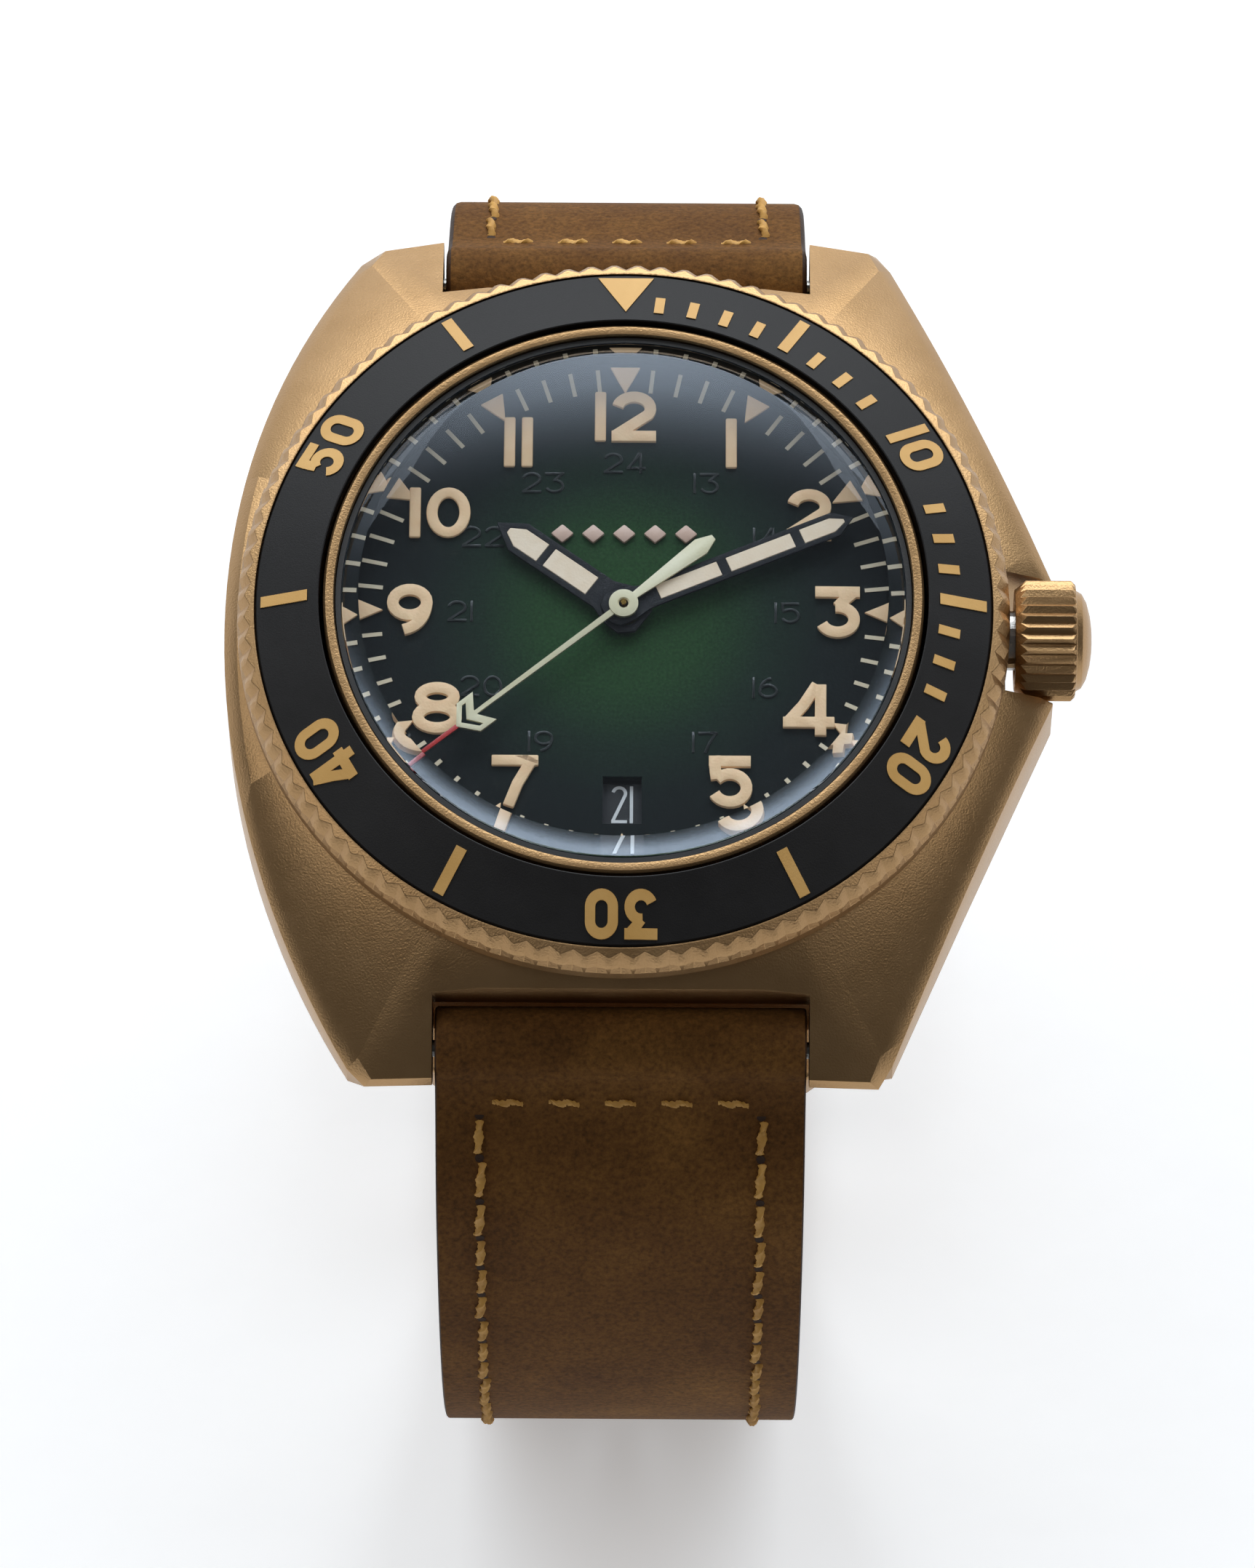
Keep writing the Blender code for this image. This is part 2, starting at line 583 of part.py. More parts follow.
def hand(name, outline, low, high, angle, bore, material):
    piece = prism(name, outline, low, high, material, turn=(0, 0, -angle))
    cut(piece, rod(f"{name}_bore", bore, low - 1, high + 1, steps=16))
    return piece


def make_hands():
    hour = [(-1.45, 0.3), (-0.9, 1.7), (-0.9, 6.6), (0, 8.1), (0.9, 6.6), (0.9, 1.7),
            (1.45, 0.3), (1.45, -0.5), (0.8, -1.45), (-0.8, -1.45), (-1.45, -0.5)]
    hand("hour_hand", hour, 8.28, 8.44, HOUR_ANGLE, 1.03, "black_anodised")
    minute = [(-1.1, 0.3), (-0.67, 1.5), (-0.67, 11.9), (0, 13.1), (0.67, 11.9), (0.67, 1.5),
              (1.1, 0.3), (1.1, -0.5), (0.5, -1.15), (-0.5, -1.15), (-1.1, -0.5)]
    hand("minute_hand", minute, 8.56, 8.7, MINUTE_ANGLE, 0.74, "black_anodised")
    second = [(-0.75, 0.2), (-0.14, 0.75), (-0.14, 9.3), (-0.95, 9.3), (-0.12, 10.8),
              (-0.12, 11.2), (-0.12, 14.1), (0.12, 14.1), (0.12, 11.2), (0.12, 10.8),
              (0.95, 9.3), (0.14, 9.3), (0.14, 0.75), (0.75, 0.2), (0.75, -0.3), (0.2, -0.75),
              (0.5, -5.2), (0, -6.1), (-0.5, -5.2), (-0.2, -0.75), (-0.75, -0.3)]
    hand("seconds_hand", second, 8.82, 8.96, SECOND_ANGLE, 0.18, "hand_cream")


# ---------------------------------------------------------------- strap


def wrap_point(angle):
    """Middle line of the strap on the 12 o'clock side, in degrees down from straight up."""
    start = math.hypot(BAR_Y, BAR_Z - WRAP_Z)
    lead = math.degrees(math.atan2(BAR_Y, BAR_Z - WRAP_Z))
    share = min(1.0, max(0.0, (angle - lead) / 16.0))
    blend = share * share * (3 - 2 * share)
    radius = start + (WRAP_RADIUS - start) * blend
    a = math.radians(angle)
    return Vector((0, radius * math.sin(a), WRAP_Z + radius * math.cos(a)))


def short_path():
    lead = math.degrees(math.atan2(BAR_Y, BAR_Z - WRAP_Z))
    return [wrap_point(lead + i) for i in range(140)]


def long_path():
    """Mirror of the wrap, then a straight fall, a bend and a flat tail."""
    lead = math.degrees(math.atan2(BAR_Y, BAR_Z - WRAP_Z))
    count = 60
    points = [wrap_point(lead + (LIFT_OFF - lead) * i / count) for i in range(count + 1)]
    points = [Vector((0, -p.y, p.z)) for p in points]
    fall = math.radians(180 - LIFT_OFF)
    drop = points[-1].z - TAIL_Z - BEND_RADIUS * (1 - math.cos(fall))
    run = drop / math.sin(fall)
    corner = points[-1] + Vector((0, math.cos(fall), -math.sin(fall))) * run
    points += [points[-1].lerp(corner, i / 12) for i in range(1, 13)]
    center = corner + Vector((0, math.sin(fall), math.cos(fall))) * BEND_RADIUS
    for i in range(1, 25):
        a = fall * (1 - i / 24)
        points.append(center - Vector((0, math.sin(a), math.cos(a))) * BEND_RADIUS)
    tail = points[-1]
    return points + [tail + Vector((0, i, 0)) for i in range(1, 81)]


def station(path, distance):
    """Point, direction and outward normal at a distance along a path."""
    left = distance
    for one, two in zip(path, path[1:]):
        length = (two - one).length
        if left <= length:
            ahead = (two - one).normalized()
            outward = Vector((0, ahead.z, -ahead.y))
            if path[0].y > 0:
                outward.negate()
            return one + ahead * left, ahead, outward
        left -= length
    raise ValueError("the path is shorter than the strap")


def strap_half_width(distance, length, rounded):
    taper = STRAP_WIDTH + (STRAP_END_WIDTH - STRAP_WIDTH) * distance / length
    nose = 7.0
    if rounded and distance > length - nose:
        share = (distance - length + nose) / nose
        return max(1.2, taper / 2 * math.sqrt(max(0.0, 1 - share * share * 0.97)))
    return taper / 2


def strap_loops(path, length, rounded):
    count = round(length / STATION_STEP)
    loops = []
    for i in range(count + 1):
        distance = length * i / count
        at, _, outward = station(path, distance)
        half = strap_half_width(distance, length, rounded)
        share = min(1.0, distance / TAPER_LENGTH)
        thick = STRAP_THICK + (STRAP_END_THICK - STRAP_THICK) * share
        lift = outward * thick / 2
        side = Vector((half, 0, 0))
        loops.append([at - side - lift, at + side - lift, at + side + lift, at - side + lift])
    return loops


def tube_across(name, at, radius, half, material=None, steps=24, bore=0.0):
    """A rod or pipe lying along X through a point."""
    place = (0, at[1], at[2])
    if bore:
        return pipe(name, bore, radius, -half, half, material, steps, place, (0, 90, 0))
    return rod(name, radius, -half, half, material, steps, place, (0, 90, 0))


def make_strap_short():
    path = short_path()
    short = lofted("strap_short", strap_loops(path, SHORT_LENGTH, False), "leather_brown")
    bar = Vector((0, BAR_Y, BAR_Z))
    end, ahead, _ = station(path, SHORT_LENGTH)
    join(short, tube_across("short_loop", bar, LOOP_RADIUS, STRAP_WIDTH / 2 - LOOP_INSET),
         tube_across("short_end_loop", end, END_LOOP_RADIUS, STRAP_END_WIDTH / 2 - LOOP_INSET))
    cut(short, tube_across("short_bore", bar, BAR_RADIUS + LOOP_PLAY, 12),
        tube_across("short_end_bore", end, BUCKLE_BAR_RADIUS + LOOP_PLAY, 12))
    slot = box("tongue_slot", (-1.7, -5.5, -4), (1.7, 5, 4))
    slot.matrix_world = path_matrix(end, ahead)
    cut(short, slot)
    move_origin(short, bar)


def make_strap_long():
    path = long_path()
    long = lofted("strap_long", strap_loops(path, LONG_LENGTH, True), "leather_brown")
    bar = Vector((0, -BAR_Y, BAR_Z))
    join(long, tube_across("long_loop", bar, LOOP_RADIUS, STRAP_WIDTH / 2 - LOOP_INSET))
    cut(long, tube_across("long_bore", bar, BAR_RADIUS + LOOP_PLAY, 12))
    for i in range(HOLE_COUNT):
        at, ahead, _ = station(path, LONG_LENGTH - FIRST_HOLE - HOLE_PITCH * i)
        hole = rod(f"strap_hole_{i}", HOLE_RADIUS, -4, 4, steps=12)
        hole.matrix_world = path_matrix(at, ahead)
        cut(long, hole)
    move_origin(long, bar)


def path_matrix(at, ahead):
    """Local +Y along the path and local +Z across the strap's thickness, in metres."""
    across = Vector((1, 0, 0))
    normal = across.cross(ahead)
    columns = Matrix((across, ahead, normal)).transposed().to_4x4()
    return Matrix.Translation(Vector(at) * MM) @ columns


def make_spring_bars():
    for name, side in (("spring_bar_12", 1), ("spring_bar_6", -1)):
        profile = [(0, -11.0), (0.45, -11.0), (0.45, -9.85), (BAR_RADIUS, -9.85),
                   (BAR_RADIUS, 9.85), (0.45, 9.85), (0.45, 11.0), (0, 11.0)]
        turned(name, profile, "steel", 16, (0, side * BAR_Y, BAR_Z), (0, 90, 0))


def rounded_box(half_x, low, high, radius):
    """Anticlockwise rectangle with three-point corners."""
    outline = []
    for cx, cy, start in ((half_x - radius, high - radius, 0), (radius - half_x, high - radius, 90),
                          (radius - half_x, low + radius, 180), (half_x - radius, low + radius, 270)):
        outline += arc(radius, start, start + 90, 3, (cx, cy))
    return outline


def make_keeper(name, distance, length):
    """A leather loop round the short half, with room above it for the long half's tail."""
    at, ahead, outward = station(short_path(), distance)
    normal = Vector((1, 0, 0)).cross(ahead)
    up = 1 if normal.dot(outward) > 0 else -1
    inside = sorted((up * -1.55, up * 4.2))
    inner = rounded_box(KEEPER_HALF, inside[0], inside[1], 0.6)
    outer = rounded_box(KEEPER_HALF + KEEPER_WALL, inside[0] - KEEPER_WALL, inside[1] + KEEPER_WALL, 1.5)
    loops = [[(x, -length / 2, n) for x, n in outer], [(x, length / 2, n) for x, n in outer],
             [(x, length / 2, n) for x, n in inner], [(x, -length / 2, n) for x, n in inner]]
    keeper = lofted(name, loops, "leather_brown", closed=True)
    keeper.matrix_world = path_matrix(at, ahead)


def make_buckle():
    end, ahead, _ = station(short_path(), SHORT_LENGTH)
    turn = Matrix.Rotation(math.radians(-BUCKLE_TILT), 3, "X")
    place = path_matrix(end, turn @ ahead)
    outline = [(-FRAME_HALF, -1.5), (-9.3, -1.5), (-9.3, 9.4), (9.3, 9.4), (9.3, -1.5),
               (FRAME_HALF, -1.5), (FRAME_HALF, 10.2), (10.0, 12.6), (-10.0, 12.6),
               (-FRAME_HALF, 10.2)]
    frame = prism("buckle_frame", outline, -FRAME_THICK / 2, FRAME_THICK / 2, "bronze")
    frame.matrix_world = place
    tube_across("buckle_bar", end, BUCKLE_BAR_RADIUS, 11.6, "steel", 16)
    cut(frame, tube_across("frame_bore", end, BUCKLE_BAR_RADIUS + BUCKLE_PLAY, 11.8))
    profile = [(-1.35, 0.6), (-0.6, 1.35), (0.8, 1.9), (11.8, 2.75), (12.6, 1.75), (9.6, 1.72),
               (1.35, 0.6), (1.35, -0.6), (0.6, -1.35), (-0.6, -1.35), (-1.35, -0.6)]
    tongue = prism("buckle_tongue", profile, -1.15, 1.15, "bronze")
    tongue.matrix_world = place @ UPRIGHT
    cut(tongue, tube_across("tongue_bore", end, BUCKLE_BAR_RADIUS + BUCKLE_PLAY, 3))


clear_scene()
make_materials()
make_case()
make_back()
make_crystal()
make_bezel()
make_crown()
make_train()
make_pallet_fork()
make_balance()
make_plates()
make_holder()
make_rotor()
make_motion_work()
make_dial()
make_hands()
make_spring_bars()
make_strap_short()
make_strap_long()
make_keeper("fixed_keeper", SHORT_LENGTH - FIXED_KEEPER, KEEPER_LENGTH)
make_keeper("sliding_keeper", SHORT_LENGTH - SLIDING_KEEPER, KEEPER_LENGTH)
make_buckle()
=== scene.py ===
import bisect
import bmesh
import bpy
import math
from mathutils import Matrix, Vector
from mathutils.kdtree import KDTree


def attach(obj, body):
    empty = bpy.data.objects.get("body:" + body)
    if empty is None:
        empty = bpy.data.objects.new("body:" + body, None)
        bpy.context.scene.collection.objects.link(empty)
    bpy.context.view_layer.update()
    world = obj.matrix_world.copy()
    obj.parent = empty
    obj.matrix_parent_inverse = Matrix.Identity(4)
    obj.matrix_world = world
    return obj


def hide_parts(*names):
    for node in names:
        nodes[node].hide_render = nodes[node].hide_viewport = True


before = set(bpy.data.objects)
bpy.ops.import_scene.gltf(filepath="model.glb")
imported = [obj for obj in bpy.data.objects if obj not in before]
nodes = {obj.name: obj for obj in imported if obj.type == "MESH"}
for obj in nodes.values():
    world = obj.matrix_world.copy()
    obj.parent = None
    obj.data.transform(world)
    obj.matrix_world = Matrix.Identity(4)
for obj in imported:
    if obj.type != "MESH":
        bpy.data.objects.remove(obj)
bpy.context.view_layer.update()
mm = 0.001              # everything is drawn in millimetres and brought to metres when a piece is finished
mergeGap = 0.004        # corners closer than this become one
fineGap = 0.0005        # the same for small outlines
poleRadius = 0.001      # where a section meets the axis, before its ring is merged
below, above, beyond = -5, 12, 30       # well clear of the case, for cuts that go right through
sideways = (0, math.pi / 2, 0)          # lays a cylinder along the lug bars


def deselectAll():
    if bpy.context.mode != "OBJECT":
        bpy.ops.object.mode_set(mode="OBJECT")
    bpy.ops.object.select_all(action="DESELECT")


def makeActive(piece):
    deselectAll()
    piece.select_set(True)
    bpy.context.view_layer.objects.active = piece


def applyModifier(piece, kind, **settings):
    makeActive(piece)
    modifier = piece.modifiers.new(kind.title(), kind)
    for name, value in settings.items():
        setattr(modifier, name, value)
    bpy.ops.object.modifier_apply(modifier=modifier.name)
    return piece


def soften(piece, width, segments=2, angle=30):
    return applyModifier(piece, "BEVEL", width=width, segments=segments, limit_method="ANGLE",
                         angle_limit=math.radians(angle), use_clamp_overlap=True, harden_normals=False)


def cutWith(piece, tool, operation="DIFFERENCE"):
    applyModifier(piece, "BOOLEAN", object=tool, operation=operation, solver="EXACT")
    bpy.data.objects.remove(tool)
    return piece


def drill(piece, radius, depth, at=(0, 0, 0), turn=(0, 0, 0), steps=32):
    bpy.ops.mesh.primitive_cylinder_add(vertices=steps, radius=radius, depth=depth, location=at,
                                        rotation=turn)
    return cutWith(piece, bpy.context.object)


def joinPieces(pieces, name):
    deselectAll()
    for piece in pieces:
        piece.select_set(True)
    bpy.context.view_layer.objects.active = pieces[0]
    bpy.ops.object.join()
    bpy.context.object.name = name
    return bpy.context.object


def placed(piece, location=(0, 0, 0), turn=(0, 0, 0)):
    makeActive(piece)
    piece.location = location
    piece.rotation_euler = [math.radians(a) for a in turn]
    bpy.ops.object.transform_apply(location=True, rotation=True, scale=True)
    return piece


def copyOf(piece, name):
    twin = piece.copy()
    twin.data = piece.data.copy()
    twin.name = name
    bpy.context.scene.collection.objects.link(twin)
    return twin


def closeUp(gap=mergeGap):
    bpy.ops.mesh.select_all(action="SELECT")
    bpy.ops.mesh.remove_doubles(threshold=gap)
    bpy.ops.mesh.normals_make_consistent(inside=False)
    bpy.ops.object.mode_set(mode="OBJECT")


def lathe(name, section, steps=128, closed=True):
    # the section is (radius, height) pairs, drawn ring by ring up a round bar
    rings = [(max(radius, poleRadius), height) for radius, height in section]
    radius, height = rings[0]
    deselectAll()
    bpy.ops.mesh.primitive_circle_add(vertices=steps, radius=radius, location=(0, 0, height))
    piece = bpy.context.object
    piece.name = name
    bpy.ops.object.transform_apply(location=True)
    bpy.ops.object.mode_set(mode="EDIT")
    for nextRadius, nextHeight in rings[1:] + rings[:1] * closed:
        bpy.ops.mesh.extrude_region_move(TRANSFORM_OT_translate={"value": (0, 0, nextHeight - height)})
        grow = nextRadius / radius
        bpy.ops.transform.resize(value=(grow, grow, 1), center_override=(0, 0, 0))
        radius, height = nextRadius, nextHeight
    closeUp()
    return piece


def drawOutline(name, points, fill=True):
    # a circle with one corner per point, and each corner pushed to its place
    deselectAll()
    kind = "NGON" if fill else "NOTHING"
    bpy.ops.mesh.primitive_circle_add(vertices=len(points), radius=1, fill_type=kind)
    piece = bpy.context.object
    piece.name = name
    for corner, point in zip(piece.data.vertices, points):
        corner.co = tuple(point) if len(point) == 3 else (point[0], point[1], 0)
    return piece


def plate(name, outline, low, high):
    piece = drawOutline(name, outline)
    bpy.ops.object.mode_set(mode="EDIT")
    bpy.ops.mesh.select_all(action="SELECT")
    bpy.ops.transform.translate(value=(0, 0, low))
    bpy.ops.mesh.extrude_region_move(TRANSFORM_OT_translate={"value": (0, 0, high - low)})
    closeUp(fineGap)
    return piece


def skin(name, loops):
    # a closed outline pulled through a row of outlines, each with the same number of corners
    piece = drawOutline(name, loops[0])
    bpy.ops.object.mode_set(mode="EDIT")
    bpy.ops.mesh.select_all(action="SELECT")
    for before, after in zip(loops, loops[1:]):
        bpy.ops.mesh.extrude_region_move()
        nearest = KDTree(len(before))
        for i, point in enumerate(before):
            nearest.insert(point, i)
        nearest.balance()
        edit = bmesh.from_edit_mesh(piece.data)
        for corner in edit.verts:
            if corner.select:
                corner.co = after[nearest.find(corner.co)[1]]
        bmesh.update_edit_mesh(piece.data)
    closeUp(fineGap)
    return piece


def penStroke(name, points, width, low, high, closed=False):
    # the line of the pen raised as a thin wall and thickened both ways
    points = [p for i, p in enumerate(points) if i == 0 or math.dist(p, points[i - 1]) > fineGap * 4]
    if closed and math.dist(points[0], points[-1]) < fineGap * 4:
        points = points[:-1]
    piece = drawOutline(name, points, fill=False)
    if not closed:
        last = len(points) - 1
        edit = bmesh.new()
        edit.from_mesh(piece.data)
        join = [e for e in edit.edges if {e.verts[0].index, e.verts[1].index} == {0, last}]
        bmesh.ops.delete(edit, geom=join, context="EDGES_FACES")
        edit.to_mesh(piece.data)
        edit.free()
    bpy.ops.object.mode_set(mode="EDIT")
    bpy.ops.mesh.select_all(action="SELECT")
    bpy.ops.transform.translate(value=(0, 0, low))
    bpy.ops.mesh.extrude_region_move(TRANSFORM_OT_translate={"value": (0, 0, high - low)})
    closeUp(fineGap)
    return applyModifier(piece, "SOLIDIFY", thickness=width, offset=0, use_even_offset=True)


def bow(centre, radii, start, end, count=14):
    turn = [math.radians(start + (end - start) * i / count) for i in range(count + 1)]
    return [(centre[0] + radii[0] * math.cos(a), centre[1] + radii[1] * math.sin(a)) for a in turn]


def clockPoint(radius, degrees):
    angle = math.radians(degrees)
    return radius * math.sin(angle), radius * math.cos(angle)


def finishPiece(piece, material, body, stands=(), smooth=35):
    makeActive(piece)
    piece.scale = (mm, mm, mm)
    bpy.ops.object.transform_apply(location=True, rotation=True, scale=True)
    if smooth:
        bpy.ops.object.shade_smooth_by_angle(angle=math.radians(smooth))
    if not piece.data.materials:
        piece.data.materials.append(material)
    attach(piece, body)
    if stands:
        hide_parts(*stands)
    return piece


def hexColour(text):
    parts = [int(text[i:i + 2], 16) / 255 for i in (1, 3, 5)]
    return [c / 12.92 if c <= 0.04045 else ((c + 0.055) / 1.055) ** 2.4 for c in parts] + [1.0]


def addNode(tree, kind, links=None, stops=None, **settings):
    node = tree.nodes.new(kind)
    for name, value in settings.items():
        setattr(node, name, value)
    for name, value in (links or {}).items():
        socket = node.inputs[name]
        if isinstance(value, bpy.types.NodeSocket):
            tree.links.new(value, socket)
        else:
            socket.default_value = value
    if stops:
        ramp = node.color_ramp
        while len(ramp.elements) < len(stops):
            ramp.elements.new(0.5)
        for element, (at, colour) in zip(ramp.elements, stops):
            element.position = at
            element.color = hexColour(colour) if isinstance(colour, str) else (colour,) * 3 + (1,)
    return node


def startMaterial(name, **sockets):
    material = bpy.data.materials.new(name)
    material.use_nodes = True
    shader = material.node_tree.nodes["Principled BSDF"]
    for socket, value in sockets.items():
        shader.inputs[socket.replace("_", " ")].default_value = value
    return material, material.node_tree, shader


def perMillimetre(size):
    return 1 / (size * mm)      # a noise scale whose features are about this many millimetres


def grainedMaterial(name, colours, roughness, grain, bump, patch=3.0, **sockets):
    # two tones in soft patches, roughness that wanders, and an even grain in the surface; real blasting
    # and lacquer are finer than a tenth of a millimetre, so the grain is drawn a little coarser to show
    material, tree, shader = startMaterial(name, **sockets)
    where = addNode(tree, "ShaderNodeTexCoord").outputs["Object"]
    blotch = addNode(tree, "ShaderNodeTexNoise", {"Vector": where, "Scale": perMillimetre(patch),
                                                  "Detail": 4.0, "Roughness": 0.6})
    tone = addNode(tree, "ShaderNodeValToRGB", {"Fac": blotch.outputs["Fac"]},
                   stops=[(0.3, colours[0]), (0.7, colours[1])])
    fine = addNode(tree, "ShaderNodeTexNoise", {"Vector": where, "Scale": perMillimetre(grain),
                                                "Detail": 2.0})
    spread = addNode(tree, "ShaderNodeMapRange", {"Value": blotch.outputs["Fac"], "To Min": roughness[0],
                                                  "To Max": roughness[1]})
    relief = addNode(tree, "ShaderNodeBump", {"Height": fine.outputs["Fac"], "Strength": bump,
                                              "Distance": grain * mm * 0.5})
    tree.links.new(tone.outputs["Color"], shader.inputs["Base Color"])
    tree.links.new(spread.outputs["Result"], shader.inputs["Roughness"])
    tree.links.new(relief.outputs["Normal"], shader.inputs["Normal"])
    return material


# tin bronze, bead blasted with fine glass: a satin bloom with a slightly warmer, browner drift
bronzeBlasted = grainedMaterial("bronzeBeadBlasted", ("#a8865d", "#b18f66"), (0.34, 0.42), 0.11, 0.35,
                                Metallic=1.0)
# aluminium ring, black anodised over a fine blast: matte and nearly neutral
insertAnodised = grainedMaterial("aluminiumBlackAnodised", ("#1d1c1c", "#242323"), (0.45, 0.55), 0.09, 0.2,
                                 Specular_IOR_Level=0.2)
# anodised wells filled with sand coloured enamel, wiped level
sandEnamel = grainedMaterial("enamelSand", ("#cf9f55", "#dcae66"), (0.5, 0.6), 0.12, 0.12)
# luminous paste laid thick: waxy with a faint granular bloom; its emission is painted glow that brightens the
# paste beyond what the lamps give
lumeTan = grainedMaterial("lumePasteTan", ("#eec596", "#f7d3a6"), (0.45, 0.6), 0.14, 0.25, patch=0.8,
                          Subsurface_Weight=0.1, Subsurface_Scale=0.0004,
                          Emission_Color=(0.85, 0.6, 0.36, 1), Emission_Strength=0.12)
# the ivory paste's emission is painted glow too
lumeIvory = grainedMaterial("lumePasteIvory", ("#f0d8b8", "#fae7cc"), (0.55, 0.65), 0.12, 0.25, patch=0.9,
                            Emission_Color=(0.9, 0.74, 0.54, 1), Emission_Strength=0.1)
# pad printed inks: thin, even and a little dull
tickPrint = grainedMaterial("padPrintIvory", ("#e6d4b0", "#eedfc0"), (0.4, 0.5), 0.1, 0.1)
dateWhite = grainedMaterial("padPrintWhite", ("#d9dad8", "#e8e8e5"), (0.4, 0.5), 0.1, 0.1)
# fired enamel on small applied lozenges: soft pink with a mild gloss
roseMark = grainedMaterial("enamelRose", ("#dcb8a2", "#e8c8b4"), (0.35, 0.45), 0.12, 0.15)
# black lacquer over brass, sprayed dry so that it looks powdery
handBlack = grainedMaterial("lacquerBlackPowdery", ("#141518", "#1c1d20"), (0.5, 0.62), 0.08, 0.5,
                            Specular_IOR_Level=0.25)
# the same lacquer laid wet, so that the figures only show by their gloss
numeralGloss = grainedMaterial("lacquerBlackGloss", ("#0d1310", "#111915"), (0.25, 0.32), 0.3, 0.05,
                               Specular_IOR_Level=0.7)
# sprayed lacquers on thin blades: smooth and half glossy, and flatter on the date ring
creamLacquer = grainedMaterial("lacquerCream", ("#e6dcb0", "#f1e9c6"), (0.3, 0.4), 0.15, 0.15)
redLacquer = grainedMaterial("lacquerRed", ("#b3221f", "#c62c27"), (0.3, 0.38), 0.15, 0.1)
dateBlack = grainedMaterial("lacquerBlackMatte", ("#0e0e0f", "#141415"), (0.45, 0.55), 0.1, 0.15)
# moulded nitrile rubber: black and dull
rubberBlack = grainedMaterial("nitrileRubber", ("#111111", "#1a1a1a"), (0.5, 0.6), 0.1, 0.2)
# brass plated black: a dark metal sheen
ringBlack = grainedMaterial("brassBlackPlated", ("#141415", "#1b1b1c"), (0.3, 0.38), 0.09, 0.2, Metallic=0.6)
# turned and milled stainless steel: light grey with a fine cut
steelMachined = grainedMaterial("steelMachined", ("#a9a9a6", "#bcbbb7"), (0.24, 0.34), 0.1, 0.2, Metallic=1.0)
# polished spring steel, heated until it turned blue
steelBlued = grainedMaterial("springSteelBlued", ("#4a5468", "#5c667a"), (0.2, 0.3), 0.1, 0.1, Metallic=1.0)
# gilt brass wheels: smooth, warm yellow
brassGilt = grainedMaterial("brassGilt", ("#b98f45", "#cba455"), (0.22, 0.3), 0.1, 0.1, Metallic=1.0)
# brass plates frosted and rhodium plated: pale grey with a powdery bloom
rhodiumGrained = grainedMaterial("brassRhodiumFrosted", ("#a5a4a1", "#b5b4b0"), (0.34, 0.42), 0.08, 0.3,
                                 Metallic=1.0)
# beryllium bronze, polished: bright copper gold
balanceGold = grainedMaterial("berylliumBronzePolished", ("#c79b5b", "#d4aa6a"), (0.1, 0.16), 0.2, 0.04,
                              Metallic=1.0)
# acetal, moulded: milky white with a satin skin
holderMoulded = grainedMaterial("acetalMoulded", ("#cfccc2", "#dad7ce"), (0.4, 0.5), 0.2, 0.15)


def makeDialLacquer():
    # brass blank, green lacquer fogged with black from the rim inwards, with a fine metallic fleck
    material, tree, shader = startMaterial("lacquerGreenFume", Specular_IOR_Level=0.12)
    where = addNode(tree, "ShaderNodeTexCoord").outputs["Object"]
    flat = addNode(tree, "ShaderNodeVectorMath", {0: where, 1: (1, 1, 0)}, operation="MULTIPLY")
    away = addNode(tree, "ShaderNodeVectorMath", {0: flat.outputs["Vector"]}, operation="LENGTH")
    share = addNode(tree, "ShaderNodeMapRange", {"Value": away.outputs["Value"], "From Max": 14.5 * mm})
    fume = addNode(tree, "ShaderNodeValToRGB", {"Fac": share.outputs["Result"]},
                   stops=[(0.0, "#254a22"), (0.3, "#20421f"), (0.52, "#13281a"), (0.72, "#0c1714"),
                          (1.0, "#080b0c")])
    fleck = addNode(tree, "ShaderNodeTexNoise", {"Vector": where, "Scale": perMillimetre(0.16),
                                                 "Detail": 2.0, "Roughness": 0.7})
    shine = addNode(tree, "ShaderNodeMapRange", {"Value": fleck.outputs["Fac"], "From Min": 0.35,
                                                 "From Max": 0.7, "To Min": 0.8, "To Max": 1.35})
    tint = addNode(tree, "ShaderNodeVectorMath", {0: fume.outputs["Color"],
                                                  "Scale": shine.outputs["Result"]}, operation="SCALE")
    dull = addNode(tree, "ShaderNodeMapRange", {"Value": fleck.outputs["Fac"], "To Min": 0.38,
                                                "To Max": 0.55})
    relief = addNode(tree, "ShaderNodeBump", {"Height": fleck.outputs["Fac"], "Strength": 0.2,
                                              "Distance": 0.00004})
    tree.links.new(tint.outputs["Vector"], shader.inputs["Base Color"])
    tree.links.new(dull.outputs["Result"], shader.inputs["Roughness"])
    tree.links.new(relief.outputs["Normal"], shader.inputs["Normal"])
    return material


def makeSapphire():
    # domed sapphire, polished, with an antireflective coat that cools its gloss and takes a third off it;
    # the room's light passes straight through it to the dial
    material, tree, shader = startMaterial("sapphireCoated")
    tree.nodes.remove(shader)
    bend = addNode(tree, "ShaderNodeBsdfRefraction", {"Color": hexColour("#fbfdff"), "Roughness": 0.0,
                                                      "IOR": 1.77})
    gloss = addNode(tree, "ShaderNodeBsdfGlossy", {"Color": hexColour("#c8d2de"), "Roughness": 0.02})
    facing = addNode(tree, "ShaderNodeFresnel", {"IOR": 1.77})
    glass = addNode(tree, "ShaderNodeMixShader", {0: facing.outputs["Fac"], 1: bend.outputs[0],
                                                  2: gloss.outputs[0]})
    clear = addNode(tree, "ShaderNodeBsdfTransparent", {"Color": hexColour("#f7f9fb")})
    path = addNode(tree, "ShaderNodeLightPath")
    either = addNode(tree, "ShaderNodeMath", {0: path.outputs["Is Shadow Ray"],
                                              1: path.outputs["Is Diffuse Ray"]}, operation="MAXIMUM")
    mix = addNode(tree, "ShaderNodeMixShader", {0: either.outputs[0], 1: glass.outputs[0],
                                                2: clear.outputs[0]})
    tree.links.new(mix.outputs[0], tree.nodes["Material Output"].inputs["Surface"])
    return material


